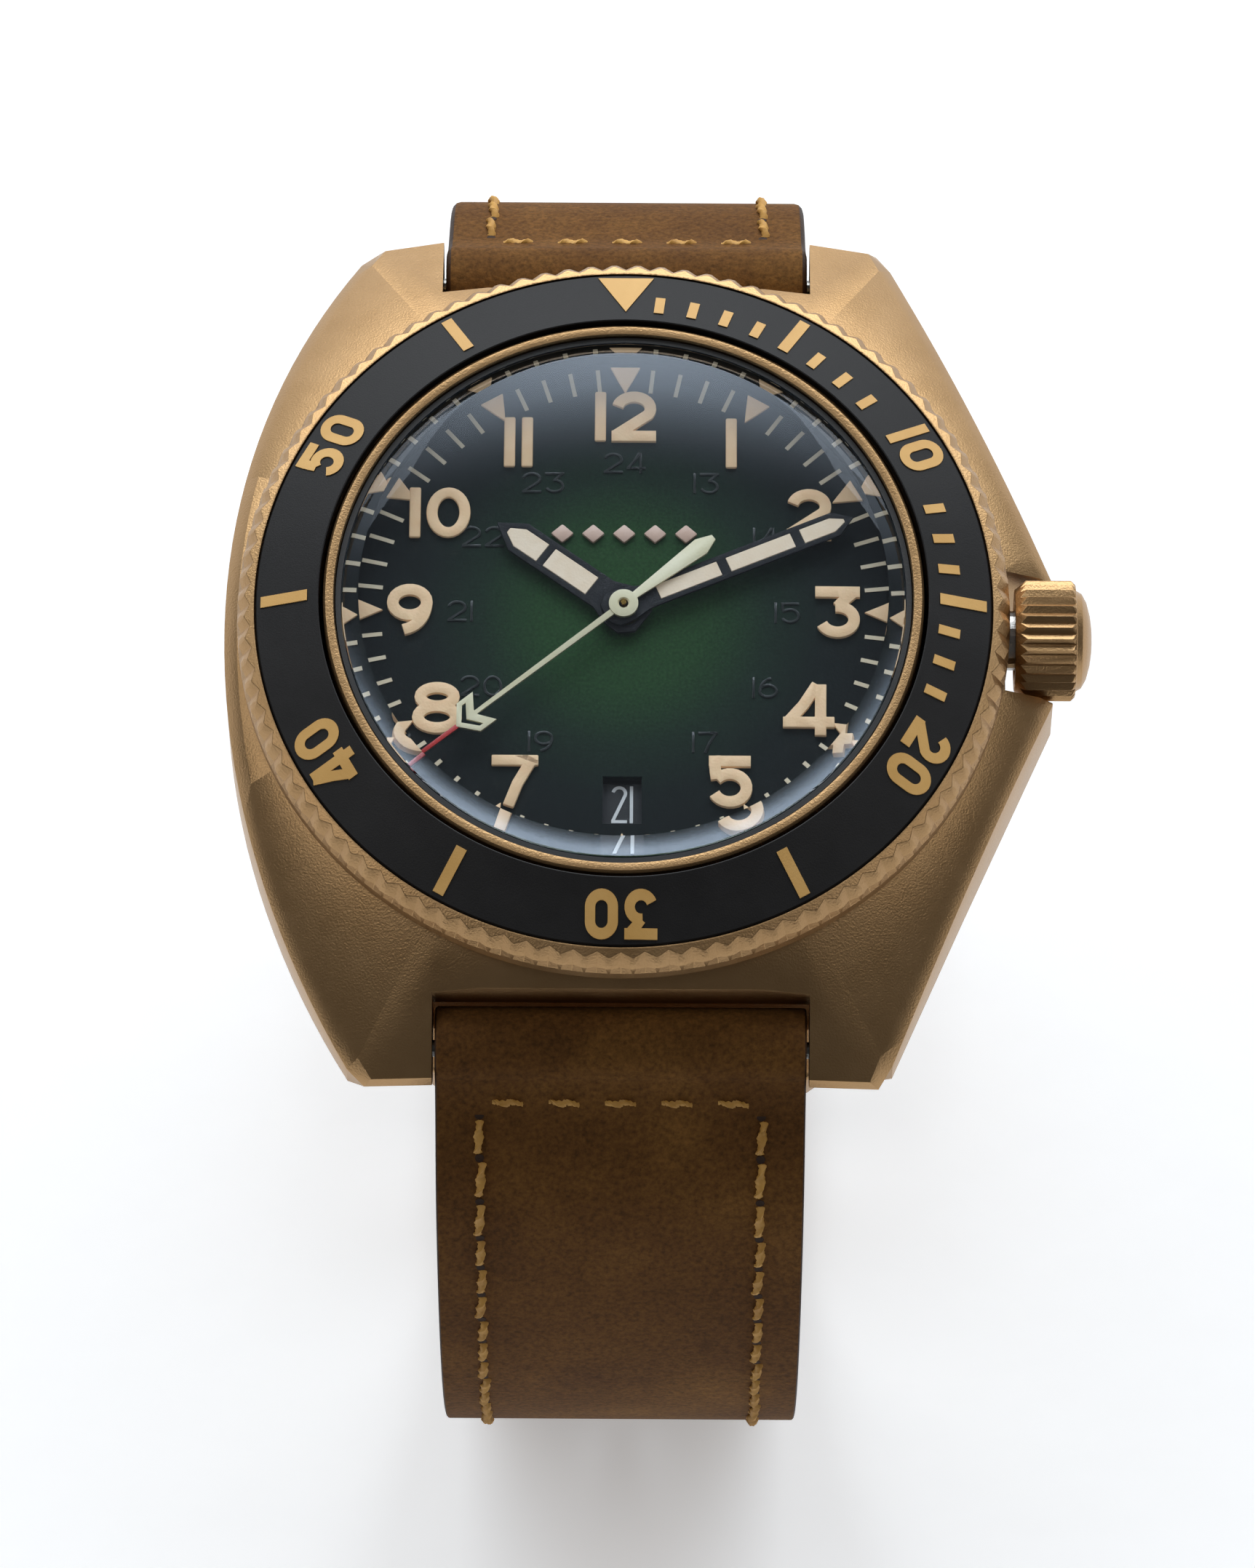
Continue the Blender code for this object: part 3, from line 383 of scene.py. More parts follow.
def makeNubuck():
    # oiled nubuck calf: short nap, cloudy pull-up and darker worn patches
    material, tree, shader = startMaterial("leatherOiledNubuck", Roughness=0.8, Specular_IOR_Level=0.12)
    where = addNode(tree, "ShaderNodeTexCoord").outputs["Object"]
    cloud = addNode(tree, "ShaderNodeTexNoise", {"Vector": where, "Scale": perMillimetre(7.0),
                                                 "Detail": 5.0, "Roughness": 0.62})
    nap = addNode(tree, "ShaderNodeTexNoise", {"Vector": where, "Scale": perMillimetre(0.28),
                                               "Detail": 3.0, "Roughness": 0.7})
    base = addNode(tree, "ShaderNodeValToRGB", {"Fac": cloud.outputs["Fac"]},
                   stops=[(0.25, "#54361a"), (0.5, "#62411e"), (0.75, "#745026")])
    speck = addNode(tree, "ShaderNodeMapRange", {"Value": nap.outputs["Fac"], "From Min": 0.3,
                                                 "From Max": 0.7, "To Min": 0.6, "To Max": 1.4})
    tint = addNode(tree, "ShaderNodeVectorMath", {0: base.outputs["Color"],
                                                  "Scale": speck.outputs["Result"]}, operation="SCALE")
    relief = addNode(tree, "ShaderNodeBump", {"Height": nap.outputs["Fac"], "Strength": 0.45,
                                              "Distance": 0.0001})
    tree.links.new(tint.outputs["Vector"], shader.inputs["Base Color"])
    tree.links.new(relief.outputs["Normal"], shader.inputs["Normal"])
    return material


dialLacquer = makeDialLacquer()
sapphireCoated = makeSapphire()
nubuck = makeNubuck()
# edges burnished and painted dark brown
edgePaint = grainedMaterial("edgePaintBrown", ("#2a190d", "#3b2514"), (0.5, 0.62), 0.2, 0.3,
                            Specular_IOR_Level=0.15)
# painted shade: dark discs sunk into the leather at each needle hole stand in for the shade inside the holes
paintedHoleShade = grainedMaterial("leatherHolePaintedShade", ("#2a190d", "#3a2413"), (0.8, 0.9), 0.2, 0.3)
# linen thread, waxed, two plies
threadWaxed = grainedMaterial("linenThreadWaxed", ("#b88538", "#d6a452"), (0.5, 0.62), 0.12, 0.4, patch=1.2)
print("materials ready")


caseShape = {
    "floor": 0.9, "deck": 7.2, "deckRadius": 20.2, "coneStart": 20.6, "coneSlope": 0.61,
    "tip": (13.22, 24.46), "innerY": 24.7, "innerX": 9.0, "flankX": -20.7, "guard": (22.3, 3.5),
    "edgeOut": 0.7, "edgeDown": 0.75, "floorBevel": 0.5, "soft": 0.07, "backOpening": 18.4,
    "lugDrop": 0.7, "lugStart": 15.0, "lugEnd": 24.4,       # lugs reach below the floor, from y to y
    "lugReach": (0.12, -0.9, -1.4),                         # their ends stand out at the edge, lean in below
    "collar": [(0, 5), (16, 5), (16, 11.02), (15.87, 11.15), (0, 11.15)],
    "bore": [(0, -1), (17.35, -1), (17.35, 1.55), (16.3, 1.55), (16.3, 2.6), (14.75, 2.6), (14.75, 8.5),
             (14.6, 8.5), (14.6, 8.95), (15.4, 8.95), (15.4, 11.05), (15.55, 11.3), (15.55, 13), (0, 13)],
    "wireGroove": [(15.8, 7.9), (16.9, 7.9), (16.9, 8.5), (15.8, 8.5)],
    "gapHalf": 10, "gapWall": 20.6, "reliefRadius": 2.65, "reliefDepth": 1.9,
    "bar": (22.5, 2.4), "barHole": 0.55, "barLength": 22.4,
    "notch": (20.4, 3.5), "tube": (17.5, 5.6), "tubeHole": 1.65, "tubeLength": 9,
}


def caseOutline():
    tipX, tipY = caseShape["tip"]
    sag = -caseShape["flankX"] - tipX
    radius = (tipY ** 2 + sag ** 2) / (2 * sag)
    spread = math.degrees(math.asin(tipY / radius))
    centre = caseShape["flankX"] + radius
    flank = bow((centre, 0), (radius, radius), 180 - spread, 180 + spread, 40)
    inner = caseShape["innerX"]
    front = [(-inner, -caseShape["innerY"]), (inner, -caseShape["innerY"]), (tipX, -tipY)]
    guardX, guardY = caseShape["guard"]
    lower = [(tipX + (guardX - tipX) * i / 16, -tipY + (tipY - guardY) * i / 16) for i in range(1, 17)]
    upper = [(x, -y) for x, y in reversed(lower)]
    return flank + front + lower + upper + [(tipX, tipY), (inner, caseShape["innerY"]),
                                            (-inner, caseShape["innerY"])]


def pushOut(outline, distance):
    # every side moves straight out, and neighbours meet again at a mitre
    moved = []
    for i, here in enumerate(outline):
        before = Vector(outline[i - 1])
        after = Vector(outline[(i + 1) % len(outline)])
        one = (Vector(here) - before).normalized()
        two = (after - Vector(here)).normalized()
        out = Vector((one.y, -one.x)) + Vector((two.y, -two.x))
        moved.append(tuple(Vector(here) + out * distance / (1 + one.dot(two))))
    return moved


def endsHeld(edge, moved, reach):
    # the lug ends move less than the flanks, and lean in underneath
    held = []
    for (_, edgeY), (x, y) in zip(edge, moved):
        if abs(edgeY) > caseShape["lugEnd"]:
            y = math.copysign(abs(edgeY) + reach, y)
        held.append((x, y))
    return held


def coneHeight(x, y):
    return caseShape["deck"] - caseShape["coneSlope"] * max(0.0, math.hypot(x, y) - caseShape["coneStart"])


def floorHeight(y):
    start = caseShape["lugStart"]
    share = min(1.0, max(0.0, (abs(y) - start) / (caseShape["innerY"] - start)))
    return caseShape["floor"] - caseShape["lugDrop"] * share


def atRadius(outline, radius, height):
    return [(x * radius / math.hypot(x, y), y * radius / math.hypot(x, y), height) for x, y in outline]


def makeCase():
    shape = caseShape
    edge = caseOutline()
    outward = pushOut(edge, shape["edgeOut"])
    wide = endsHeld(edge, outward, shape["lugReach"][0])
    under = endsHeld(edge, outward, shape["lugReach"][1])
    foot = endsHeld(edge, pushOut(edge, shape["edgeOut"] - shape["floorBevel"]), shape["lugReach"][2])
    case = skin("caseMiddle", [
        atRadius(edge, shape["backOpening"], shape["floor"]),
        [(x, y, floorHeight(y)) for x, y in foot],
        [(x, y, floorHeight(y) + shape["floorBevel"]) for x, y in under],
        [(x, y, coneHeight(*edge[i]) - shape["edgeDown"]) for i, (x, y) in enumerate(wide)],
        [(x, y, coneHeight(x, y)) for x, y in edge],
        atRadius(edge, shape["deckRadius"], shape["deck"]),
    ])
    cutWith(case, lathe("collar", shape["collar"], 192, False), "UNION")
    cutWith(case, lathe("bore", shape["bore"], 192, False))
    cutWith(case, lathe("wireGroove", shape["wireGroove"], 128))
    barY, barZ = shape["bar"]
    hollow = shape["reliefRadius"]
    spread = math.degrees(math.acos(shape["reliefDepth"] / hollow))
    for side in (-1, 1):
        gap = [(shape["gapWall"], below), (beyond, below), (beyond, above), (shape["gapWall"], above)]
        gap += bow((barY, barZ), (hollow, hollow), 180 - spread, 180 + spread, 12)
        cutWith(case, skin("lugGap", [[(x, side * y, z) for y, z in gap]
                                      for x in (-shape["gapHalf"], shape["gapHalf"])]))
        drill(case, shape["barHole"], shape["barLength"], (0, side * barY, barZ), sideways, 24)
    inner, half = shape["notch"]
    cutWith(case, plate("crownNotch", [(inner, -half), (beyond, -half), (beyond, half), (inner, half)],
                        below, above))
    tubeX, tubeZ = shape["tube"]
    drill(case, shape["tubeHole"], shape["tubeLength"], (tubeX, 0, tubeZ), sideways, 48)
    applyModifier(case, "WELD", merge_threshold=fineGap * 4)
    soften(case, shape["soft"], 2, 24)
    finishPiece(case, bronzeBlasted, "case", ["case_middle"], 30)


backShape = {
    "section": [(0, 0), (13.2, 0), (13.3, 0.12), (13.7, 0.12), (13.8, 0), (17.42, 0), (18, 0.35), (18, 0.85),
                (16.2, 0.85), (16.2, 2.5), (15.2, 2.5), (15.2, 1.25), (0, 1.25)],
    "slots": 6, "slotFrom": 16.7, "slotTo": 19, "slotHalf": 1.1, "slotDepth": 0.45, "soft": 0.06,
}


def makeBack():
    shape = backShape
    back = lathe("caseback", shape["section"], 160, False)
    near, far, half = shape["slotFrom"], shape["slotTo"], shape["slotHalf"]
    for i in range(shape["slots"]):
        slot = plate("backSlot", [(near, -half), (far, -half), (far, half), (near, half)], -1,
                     shape["slotDepth"])
        cutWith(back, placed(slot, turn=(0, 0, 360 / shape["slots"] * i)))
    soften(back, shape["soft"], 2, 30)
    finishPiece(back, bronzeBlasted, "case", ["caseback"], 30)


makeCase()
makeBack()
print("case and back done")


bezelShape = {
    "flutes": 100, "soft": 0.02, "coneOuter": (19.62, 9.8), "coneInner": (16.24, 11.25),
    "section": [(16.25, 7.35), (17, 7.35), (17, 7.95), (19, 7.95), (19, 7.35), (20.2, 7.35), (20.3, 7.42),
                (20.65, 7.78), (20.65, 8.41), (20.62, 8.97), (20.43, 9.32), (20.24, 9.62), (19.78, 9.795),
                (19.7, 9.8), (19.7, 8.99), (16.25, 10.44), (16.25, 8.5), (16.5, 8.5), (16.5, 7.9),
                (16.25, 7.9)],
    # each ring of a flute: where its ridge is, how wide the ridge stays there, and where the valley runs
    "rings": [((20.24, 9.62), 0.2, (19.94, 9.73)), ((20.43, 9.32), 0.85, (20.2, 9.28)),
              ((20.62, 8.97), 0.6, (20.45, 8.8)), ((20.65, 8.41), 0.25, (20.64, 8.41))],
    "insert": [(19.62, 9.05), (19.62, 9.74), (19.56, 9.83), (16.3, 11.22), (16.24, 11.19), (16.24, 10.5)],
    # marks: minutes, width and outer end of each kind of bar
    "bars": [((5, 15, 25, 35, 45, 55), 0.62, 19.35),
             ((1, 2, 3, 4, 6, 7, 8, 12, 13, 14, 16, 17, 18), 0.52, 18.0)],
    "markIn": 16.85, "triangle": (1.5, 19.38), "numberRadius": 18.1,
    "markHigh": 0.04, "markRoot": -0.06, "inlay": 0.03,
}


def makeBezelRing():
    shape = bezelShape
    ring = lathe("bezelRing", shape["section"], shape["flutes"] * 3)
    sector = 2 * math.pi / shape["flutes"]
    for corner in ring.data.vertices:
        radius = math.hypot(corner.co.x, corner.co.y)
        turn = math.atan2(corner.co.y, corner.co.x) / sector
        for ridge, wide, valley in shape["rings"]:
            if math.dist((radius, corner.co.z), ridge) > 0.015:
                continue
            if abs(turn - round(turn)) < 0.1:       # every third corner is a valley
                radius, corner.co.z = valley
            else:
                middle = math.floor(turn) + 0.5
                turn = middle + (turn - middle) * wide
            corner.co.x = radius * math.cos(turn * sector)
            corner.co.y = radius * math.sin(turn * sector)
            break
    soften(ring, shape["soft"], 1, 20)
    finishPiece(ring, bronzeBlasted, "bezel", ["bezel_ring"], 14)


def bezelCone(x, y):
    (r1, z1), (r2, z2) = bezelShape["coneOuter"], bezelShape["coneInner"]
    return z1 + (z2 - z1) * (math.hypot(x, y) - r1) / (r2 - r1)


def makeInsert():
    insert = lathe("bezelInsert", bezelShape["insert"], 192)
    finishPiece(insert, insertAnodised, "bezel", ["bezel_insert"], 30)


# numerals are drawn with a pen of even width and copied wherever they are needed
faces = {
    "dial": {"tall": 2.9, "pen": 0.6, "gap": 0.25, "low": 0.0, "high": 0.26, "soft": 0.1, "stadium": False,
             "wide": {"0": 2.34, "1": 0.68, "2": 2.34, "3": 2.35, "4": 2.7, "5": 2.35, "7": 2.45, "8": 2.6,
                      "9": 2.4}},
    "day": {"tall": 1.18, "pen": 0.13, "gap": 0.2, "low": 0.0, "high": 0.07, "soft": 0.02, "stadium": False,
            "wide": {"1": 0.13, "other": 1.0}},
    "bezel": {"tall": 2.45, "pen": 0.54, "gap": 0.34, "low": 0.0, "high": 0.04, "soft": 0.0, "stadium": True,
              "wide": {"1": 0.54, "other": 1.74}},
    "date": {"tall": 2.1, "pen": 0.17, "gap": 0.14, "low": 0.0, "high": 0.02, "soft": 0.0, "stadium": True,
             "wide": {"1": 0.17, "other": 0.82}},
}
masters = {}


def digitStrokes(digit, wide, tall, pen, stadium):
    left, right, low, top = pen / 2, wide - pen / 2, pen / 2, tall - pen / 2
    mid, half, rise = (left + right) / 2, (right - left) / 2, top - low
    if digit == "0":
        ry = min(half, rise / 2) if stadium else rise / 2
        loop = bow((mid, top - ry), (half, ry), 0, 180) + bow((mid, low + ry), (half, ry), 180, 360)
        return [(loop, True)]
    if digit == "1":
        return [([(mid, 0), (mid, tall / 2), (mid, tall)], False)]
    if digit == "2":
        ry = min(half, rise * 0.3)
        curve = bow((mid, top - ry), (half, ry), 168, -32)
        foot = (pen * 0.42, pen * 0.62)
        return [(curve + [foot], False), ([(0, low), (mid, low), (wide, low)], False)]
    if digit == "3":
        ry = rise * 0.315
        crown = low + 2 * ry
        slant = [(wide - pen * 0.42, tall - pen * 0.42), (mid + half * 0.45, (top + crown) / 2), (mid, crown)]
        return [([(0, top), (mid, top), (wide, top)], False), (slant, False),
                (bow((mid, low + ry), (half, ry), 98, -158, 20), False)]
    if digit == "4":
        bar = tall * 0.26
        return [([(wide * 0.66, tall), (wide * 0.4, tall * 0.6), (pen * 0.42, bar)], False),
                ([(0, bar), (mid, bar), (wide, bar)], False),
                ([(wide * 0.73, 0), (wide * 0.73, tall / 2), (wide * 0.73, tall)], False)]
    if digit == "5":
        ry = rise * 0.345
        start = bow((mid, low + ry), (half, ry), 142, 142, 1)[0]
        stem = [(left + pen * 0.12, tall), ((left + start[0]) / 2 + pen * 0.04, tall * 0.7), start]
        return [([(left - pen * 0.38, top), (mid, top), (wide * 0.96, top)], False), (stem, False),
                (bow((mid, low + ry), (half, ry), 142, -155, 20), False)]
    if digit in "69":
        ry = rise * 0.32
        loop = bow((mid, low + ry), (half, ry), 0, 360, 22)
        one, two, three = (left, low + ry), (left + half * 0.1, top - rise * 0.12), (mid + half * 0.35, top)
        tail = [tuple((1 - s) ** 2 * one[k] + 2 * s * (1 - s) * two[k] + s * s * three[k] for k in (0, 1))
                for s in [i / 9 for i in range(10)]]
        strokes = [(loop, True), (tail, False)]
        if digit == "9":
            strokes = [([(wide - x, tall - y) for x, y in line], shut) for line, shut in strokes]
        return strokes
    if digit == "7":
        lean = [(wide - pen * 0.5, tall - pen * 0.3), (wide * 0.56, tall * 0.45), (wide * 0.36, 0)]
        return [([(0, top), (mid, top), (wide, top)], False), (lean, False)]
    upper, lower = rise * 0.23, rise * 0.27
    return [(bow((mid, top - upper), (half * 0.88, upper), 0, 360, 22), True),
            (bow((mid, low + lower), (half, lower), 0, 360, 22), True)]


def makeDigit(face, digit):
    style = faces[face]
    wide = style["wide"].get(digit, style["wide"].get("other"))
    parts = []
    for line, shut in digitStrokes(digit, wide, style["tall"], style["pen"], style["stadium"]):
        parts.append(penStroke("stroke", line, style["pen"], style["low"], style["high"], shut))
    piece = parts[0]
    for part in parts[1:]:
        cutWith(piece, part, "UNION")
    piece.name = f"master_{face}_{digit}"
    if style["soft"]:
        soften(piece, style["soft"], 2, 50)
    return piece, wide


def writeNumber(face, text, centre, turn=0.0, height=0.0):
    # digits side by side, centred on a point and turned about it
    style = faces[face]
    for digit in text:
        if (face, digit) not in masters:
            masters[face, digit] = makeDigit(face, digit)
    wide = sum(masters[face, d][1] for d in text) + style["gap"] * (len(text) - 1)
    pieces = []
    across = -wide / 2
    for digit in text:
        master, width = masters[face, digit]
        piece = copyOf(master, "digit")
        piece.data.transform(Matrix.Translation((across, -style["tall"] / 2, 0)))
        piece.data.transform(Matrix.Rotation(math.radians(turn), 4, "Z"))
        piece.data.transform(Matrix.Translation((centre[0], centre[1], height)))
        pieces.append(piece)
        across += width + style["gap"]
    return pieces


def bar(radiusIn, radiusOut, width, low, high):
    half = width / 2
    return plate("bar", [(-half, radiusIn), (half, radiusIn), (half, radiusOut), (-half, radiusOut)], low,
                 high)


def makeBezelMarks():
    shape = bezelShape
    half, out = shape["triangle"]
    pieces = [plate("triangle", [(0, shape["markIn"]), (half, out), (-half, out)], 0, shape["markHigh"])]
    for minutes, wide, out in shape["bars"]:
        master = bar(shape["markIn"], out, wide, 0, shape["markHigh"])
        pieces += [placed(copyOf(master, "mark"), turn=(0, 0, -6 * minute)) for minute in minutes]
        bpy.data.objects.remove(master)
    for tens in (10, 20, 30, 40, 50):
        pieces += writeNumber("bezel", str(tens), clockPoint(shape["numberRadius"], 6 * tens), -6 * tens)
    marks = joinPieces(pieces, "bezelMarks")
    for corner in marks.data.vertices:
        lift = bezelCone(corner.co.x, corner.co.y) + shape["inlay"]
        corner.co.z = lift + (corner.co.z if corner.co.z > shape["markHigh"] / 2 else shape["markRoot"])
    finishPiece(marks, sandEnamel, "bezel", smooth=30)


makeBezelRing()
makeInsert()
makeBezelMarks()
print("bezel done")


dialShape = {
    "low": 7.45, "high": 7.85, "radius": 14.5, "bore": 1.15, "sunk": 0.02,
    "tickIn": 12.7, "tickOut": 14.0, "tick": 0.22, "tickHigh": 0.04,
    "arrowIn": 12.6, "arrowOut": 14.05, "arrow": 1.35, "arrowAtTwelve": 1.6, "arrowHigh": 0.2,
    "numeralRadius": 11.2, "dayRadius": 8.55,
    "windowWide": 2.04, "windowLow": -12.05, "windowHigh": -9.35,
    "lozenge": (0.62, 0.55), "lozengePitch": 1.62, "lozengeY": 4.4, "lozengeHigh": 0.25, "lozengeSoft": 0.1,
    "ring": [(14.3, 7.92), (14.68, 7.92), (14.68, 8.44), (14.57, 8.44)],
}


def makeDial():
    shape = dialShape
    top, sunk = shape["high"], shape["high"] - shape["sunk"]
    dial = lathe("dialPlate", [(shape["bore"], shape["low"]), (shape["radius"], shape["low"]),
                               (shape["radius"], top), (shape["bore"], top)], 160)
    half = shape["windowWide"] / 2
    window = [(-half, shape["windowLow"]), (half, shape["windowLow"]), (half, shape["windowHigh"]),
              (-half, shape["windowHigh"])]
    cutWith(dial, plate("dateWindow", window, 6, 9))
    finishPiece(dial, dialLacquer, "case", ["dial"], 0)
    tick = bar(shape["tickIn"], shape["tickOut"], shape["tick"], sunk, top + shape["tickHigh"])
    ticks = [placed(copyOf(tick, "tick"), turn=(0, 0, -6 * i)) for i in range(60) if i % 5]
    bpy.data.objects.remove(tick)
    finishPiece(joinPieces(ticks, "minuteTicks"), tickPrint, "case", smooth=30)
    arrows = []
    for hour in range(12):
        half = shape["arrow" if hour else "arrowAtTwelve"] / 2
        arrow = plate("arrow", [(0, shape["arrowIn"]), (half, shape["arrowOut"]), (-half, shape["arrowOut"])],
                      sunk, top + shape["arrowHigh"])
        arrows.append(placed(soften(arrow, 0.06, 2, 40), turn=(0, 0, -30 * hour)))
    finishPiece(joinPieces(arrows, "hourTriangles"), lumeTan, "case", smooth=30)


def makeDialNumbers():
    # hours stand at every place but 6, where the date is, and the day's hours inside them
    height = dialShape["high"] - dialShape["sunk"] / 2
    for face, label, first, radius, finish in (
            ("dial", "hourNumerals", 0, dialShape["numeralRadius"], lumeTan),
            ("day", "dayNumerals", 12, dialShape["dayRadius"], numeralGloss)):
        pieces = []
        for hour in (1, 2, 3, 4, 5, 7, 8, 9, 10, 11, 12):
            pieces += writeNumber(face, str(first + hour), clockPoint(radius, 30 * hour), 0, height)
        finishPiece(joinPieces(pieces, label), finish, "case", smooth=30)


def makeLozenges():
    shape = dialShape
    top, sunk = shape["high"], shape["high"] - shape["sunk"]
    wide, tall = shape["lozenge"]
    lozenges = []
    for i in range(5):
        lozenge = plate("lozenge", [(0, -tall), (wide, 0), (0, tall), (-wide, 0)], sunk,
                        top + shape["lozengeHigh"])
        soften(lozenge, shape["lozengeSoft"], 2, 40)
        lozenges.append(placed(lozenge, ((i - 2) * shape["lozengePitch"], shape["lozengeY"], 0)))
    finishPiece(joinPieces(lozenges, "appliedLozenges"), roseMark, "case", smooth=30)


dateShape = {"section": [(9.6, 7.0), (12.9, 7.0), (12.9, 7.33), (9.6, 7.33)], "days": 31, "shown": 21,
             "numberRadius": 10.72, "numberHeight": 7.325}


def makeDateRing():
    shape = dateShape
    ring = lathe("dateRing", shape["section"], shape["days"] * 4)
    finishPiece(ring, dateBlack, "date", ["date_ring"], 30)
    pieces = []
    for day in range(1, shape["days"] + 1):
        turn = (day - shape["shown"]) * 360 / shape["days"]
        number = joinPieces(writeNumber("date", str(day), (0, -shape["numberRadius"])), "dateNumber")
        number.data.transform(Matrix.Rotation(math.radians(turn), 4, "Z"))
        number.data.transform(Matrix.Translation((0, 0, shape["numberHeight"])))
        pieces.append(number)
    finishPiece(joinPieces(pieces, "dateNumbers"), dateWhite, "date", smooth=0)


def makeDialRing():
    ring = lathe("dialRing", dialShape["ring"], 160)
    finishPiece(ring, ringBlack, "case", ["dial_ring"], 30)


crystalShape = {
    "hollowRadius": 14.2, "hollowTop": 10.1, "hollowSag": 1.05, "domeRadius": 14.1, "domeTop": 12.9,
    "domeSag": 1.27, "edge": [(14.9, 9.05), (15.0, 9.15), (15.0, 10.86), (14.95, 10.94)],
    "gasket": [(15.06, 9.02), (15.34, 9.02), (15.34, 10.9), (15.06, 10.9)],
}


def makeCrystal():
    shape = crystalShape
    under = [(shape["hollowRadius"] * i / 10, shape["hollowTop"] - shape["hollowSag"] * (i / 10) ** 2)
             for i in range(11)]
    dome = [(shape["domeRadius"] * (1 - i / 12), shape["domeTop"] - shape["domeSag"] * (1 - i / 12) ** 2)
            for i in range(13)]
    crystal = lathe("crystal", under + shape["edge"] + dome, 192, False)
    finishPiece(crystal, sapphireCoated, "case", ["crystal"], 12)
    gasket = lathe("crystalGasket", shape["gasket"], 128)
    finishPiece(gasket, rubberBlack, "case", ["crystal_gasket"], 30)


makeDial()
makeDialNumbers()
makeLozenges()
makeDateRing()
makeDialRing()
makeCrystal()
print("dial, date and crystal done")


# low and high are a hand's two faces; an outline is drawn pointing to 12 and turned clockwise
handShape = {
    "hour": {
        "turn": 306.0, "low": 8.28, "high": 8.44, "bore": 1.03,
        "outline": [(-1.35, -0.6), (-0.75, -1.3), (0.75, -1.3), (1.35, -0.6), (1.3, 0.3), (0.92, 1.3),
                    (0.92, 6.85), (0, 8.25), (-0.92, 6.85), (-0.92, 1.3), (-1.3, 0.3)],
        "wells": [[(-0.6, 2.05), (0.6, 2.05), (0.6, 4.85), (-0.6, 4.85)],
                  [(-0.6, 5.25), (0.6, 5.25), (0.6, 6.75), (0.16, 7.5), (-0.16, 7.5), (-0.6, 6.75)]]},
    "minute": {
        "turn": 66.7, "low": 8.56, "high": 8.70, "bore": 0.74,
        "outline": [(-1.0, -0.6), (-0.5, -1.1), (0.5, -1.1), (1.0, -0.6), (0.95, 0.3), (0.7, 1.3),
                    (0.7, 12.1), (0, 13.1), (-0.7, 12.1), (-0.7, 1.3), (-0.95, 0.3)],
        "wells": [[(-0.43, 1.95), (0.43, 1.95), (0.43, 5.45), (-0.43, 5.45)],
                  [(-0.43, 5.95), (0.43, 5.95), (0.43, 9.65), (-0.43, 9.65)],
                  [(-0.43, 10.15), (0.43, 10.15), (0.43, 11.9), (0.1, 12.6), (-0.1, 12.6), (-0.43, 11.9)]]},
    "seconds": {
        "turn": 230.8, "low": 8.82, "high": 8.96,
        "head": [(0, 11.2), (-1.0, 10.38), (-1.0, 9.3), (-0.16, 9.9), (0.16, 9.9), (1.0, 9.3), (1.0, 10.38)],
        "notch": [(0, 10.86), (-0.74, 10.22), (-0.74, 9.98), (0, 10.52), (0.74, 9.98), (0.74, 10.22)],
        "blades": [[(-0.17, 0.5), (0.17, 0.5), (0.11, 10.2), (-0.11, 10.2)],
                   [(0.18, -0.5), (-0.18, -0.5), (-0.5, -5.2), (-0.16, -6.05), (0.16, -6.05), (0.5, -5.2)]],
        "tip": [(-0.125, 11.15), (0.125, 11.15), (0.11, 14.1), (-0.11, 14.1)],
        "hub": (0.25, 0.32, 0.77, 0.05)},       # bore, lip of the bore, outside, and how far it stands up
}
wellShape = {"deep": 0.09, "fillDeep": 0.088, "fillHigh": 0.008, "fillInset": 0.015}


def makeFlatHand(kind, body):
    shape, high = handShape[kind], handShape[kind]["high"]
    hand = plate(kind + "Hand", shape["outline"], shape["low"], high)
    for well in shape["wells"]:
        cutWith(hand, plate("well", well, high - wellShape["deep"], high + 1))
    drill(hand, shape["bore"], 3, (0, 0, 8.6), steps=48)
    soften(hand, 0.025, 2, 40)
    placed(hand, turn=(0, 0, -shape["turn"]))
    finishPiece(hand, handBlack, body, [kind + "_hand"], 30)
    fills = []
    for well in shape["wells"]:
        fill = plate("fill", pushOut(well, -wellShape["fillInset"]), high - wellShape["fillDeep"],
                     high + wellShape["fillHigh"])
        fills.append(soften(fill, 0.02, 1, 40))
    fill = placed(joinPieces(fills, kind + "HandLume"), turn=(0, 0, -shape["turn"]))
    finishPiece(fill, lumeIvory, body, smooth=30)


def makeSecondsHand():
    shape = handShape["seconds"]
    low, high = shape["low"], shape["high"]
    bore, lip, outside, rise = shape["hub"]
    second = plate("head", shape["head"], low, high)
    cutWith(second, plate("notch", shape["notch"], low - 1, high + 1))
    parts = [plate("blade", blade, low, high) for blade in shape["blades"]]
    parts.append(lathe("hub", [(bore, low), (outside, low), (outside, high + rise), (lip, high + rise),
                               (bore, high)], 48))
    for part in parts:
        cutWith(second, part, "UNION")
    second.name = "secondsHand"
    soften(second, 0.03, 2, 40)
    placed(second, turn=(0, 0, -shape["turn"]))
    finishPiece(second, creamLacquer, "seconds", ["seconds_hand"], 30)
    tip = soften(plate("secondsTip", shape["tip"], low + 0.01, high - 0.01), 0.02, 2, 40)
    placed(tip, turn=(0, 0, -shape["turn"]))
    finishPiece(tip, redLacquer, "seconds", smooth=30)


makeFlatHand("hour", "hours")
makeFlatHand("minute", "minutes")
makeSecondsHand()
for master, _ in masters.values():
    bpy.data.objects.remove(master)
print("hands done")


crownShape = {"ribs": 32, "radius": 3.25, "groove": 2.93, "inner": 20.95, "outer": 24.2, "height": 5.6,
              "faceRadius": 3.02, "domeRadius": 2.7, "domeHigh": 0.85, "recess": 2.05, "recessRadius": 2.15,
              "soft": 0.035}


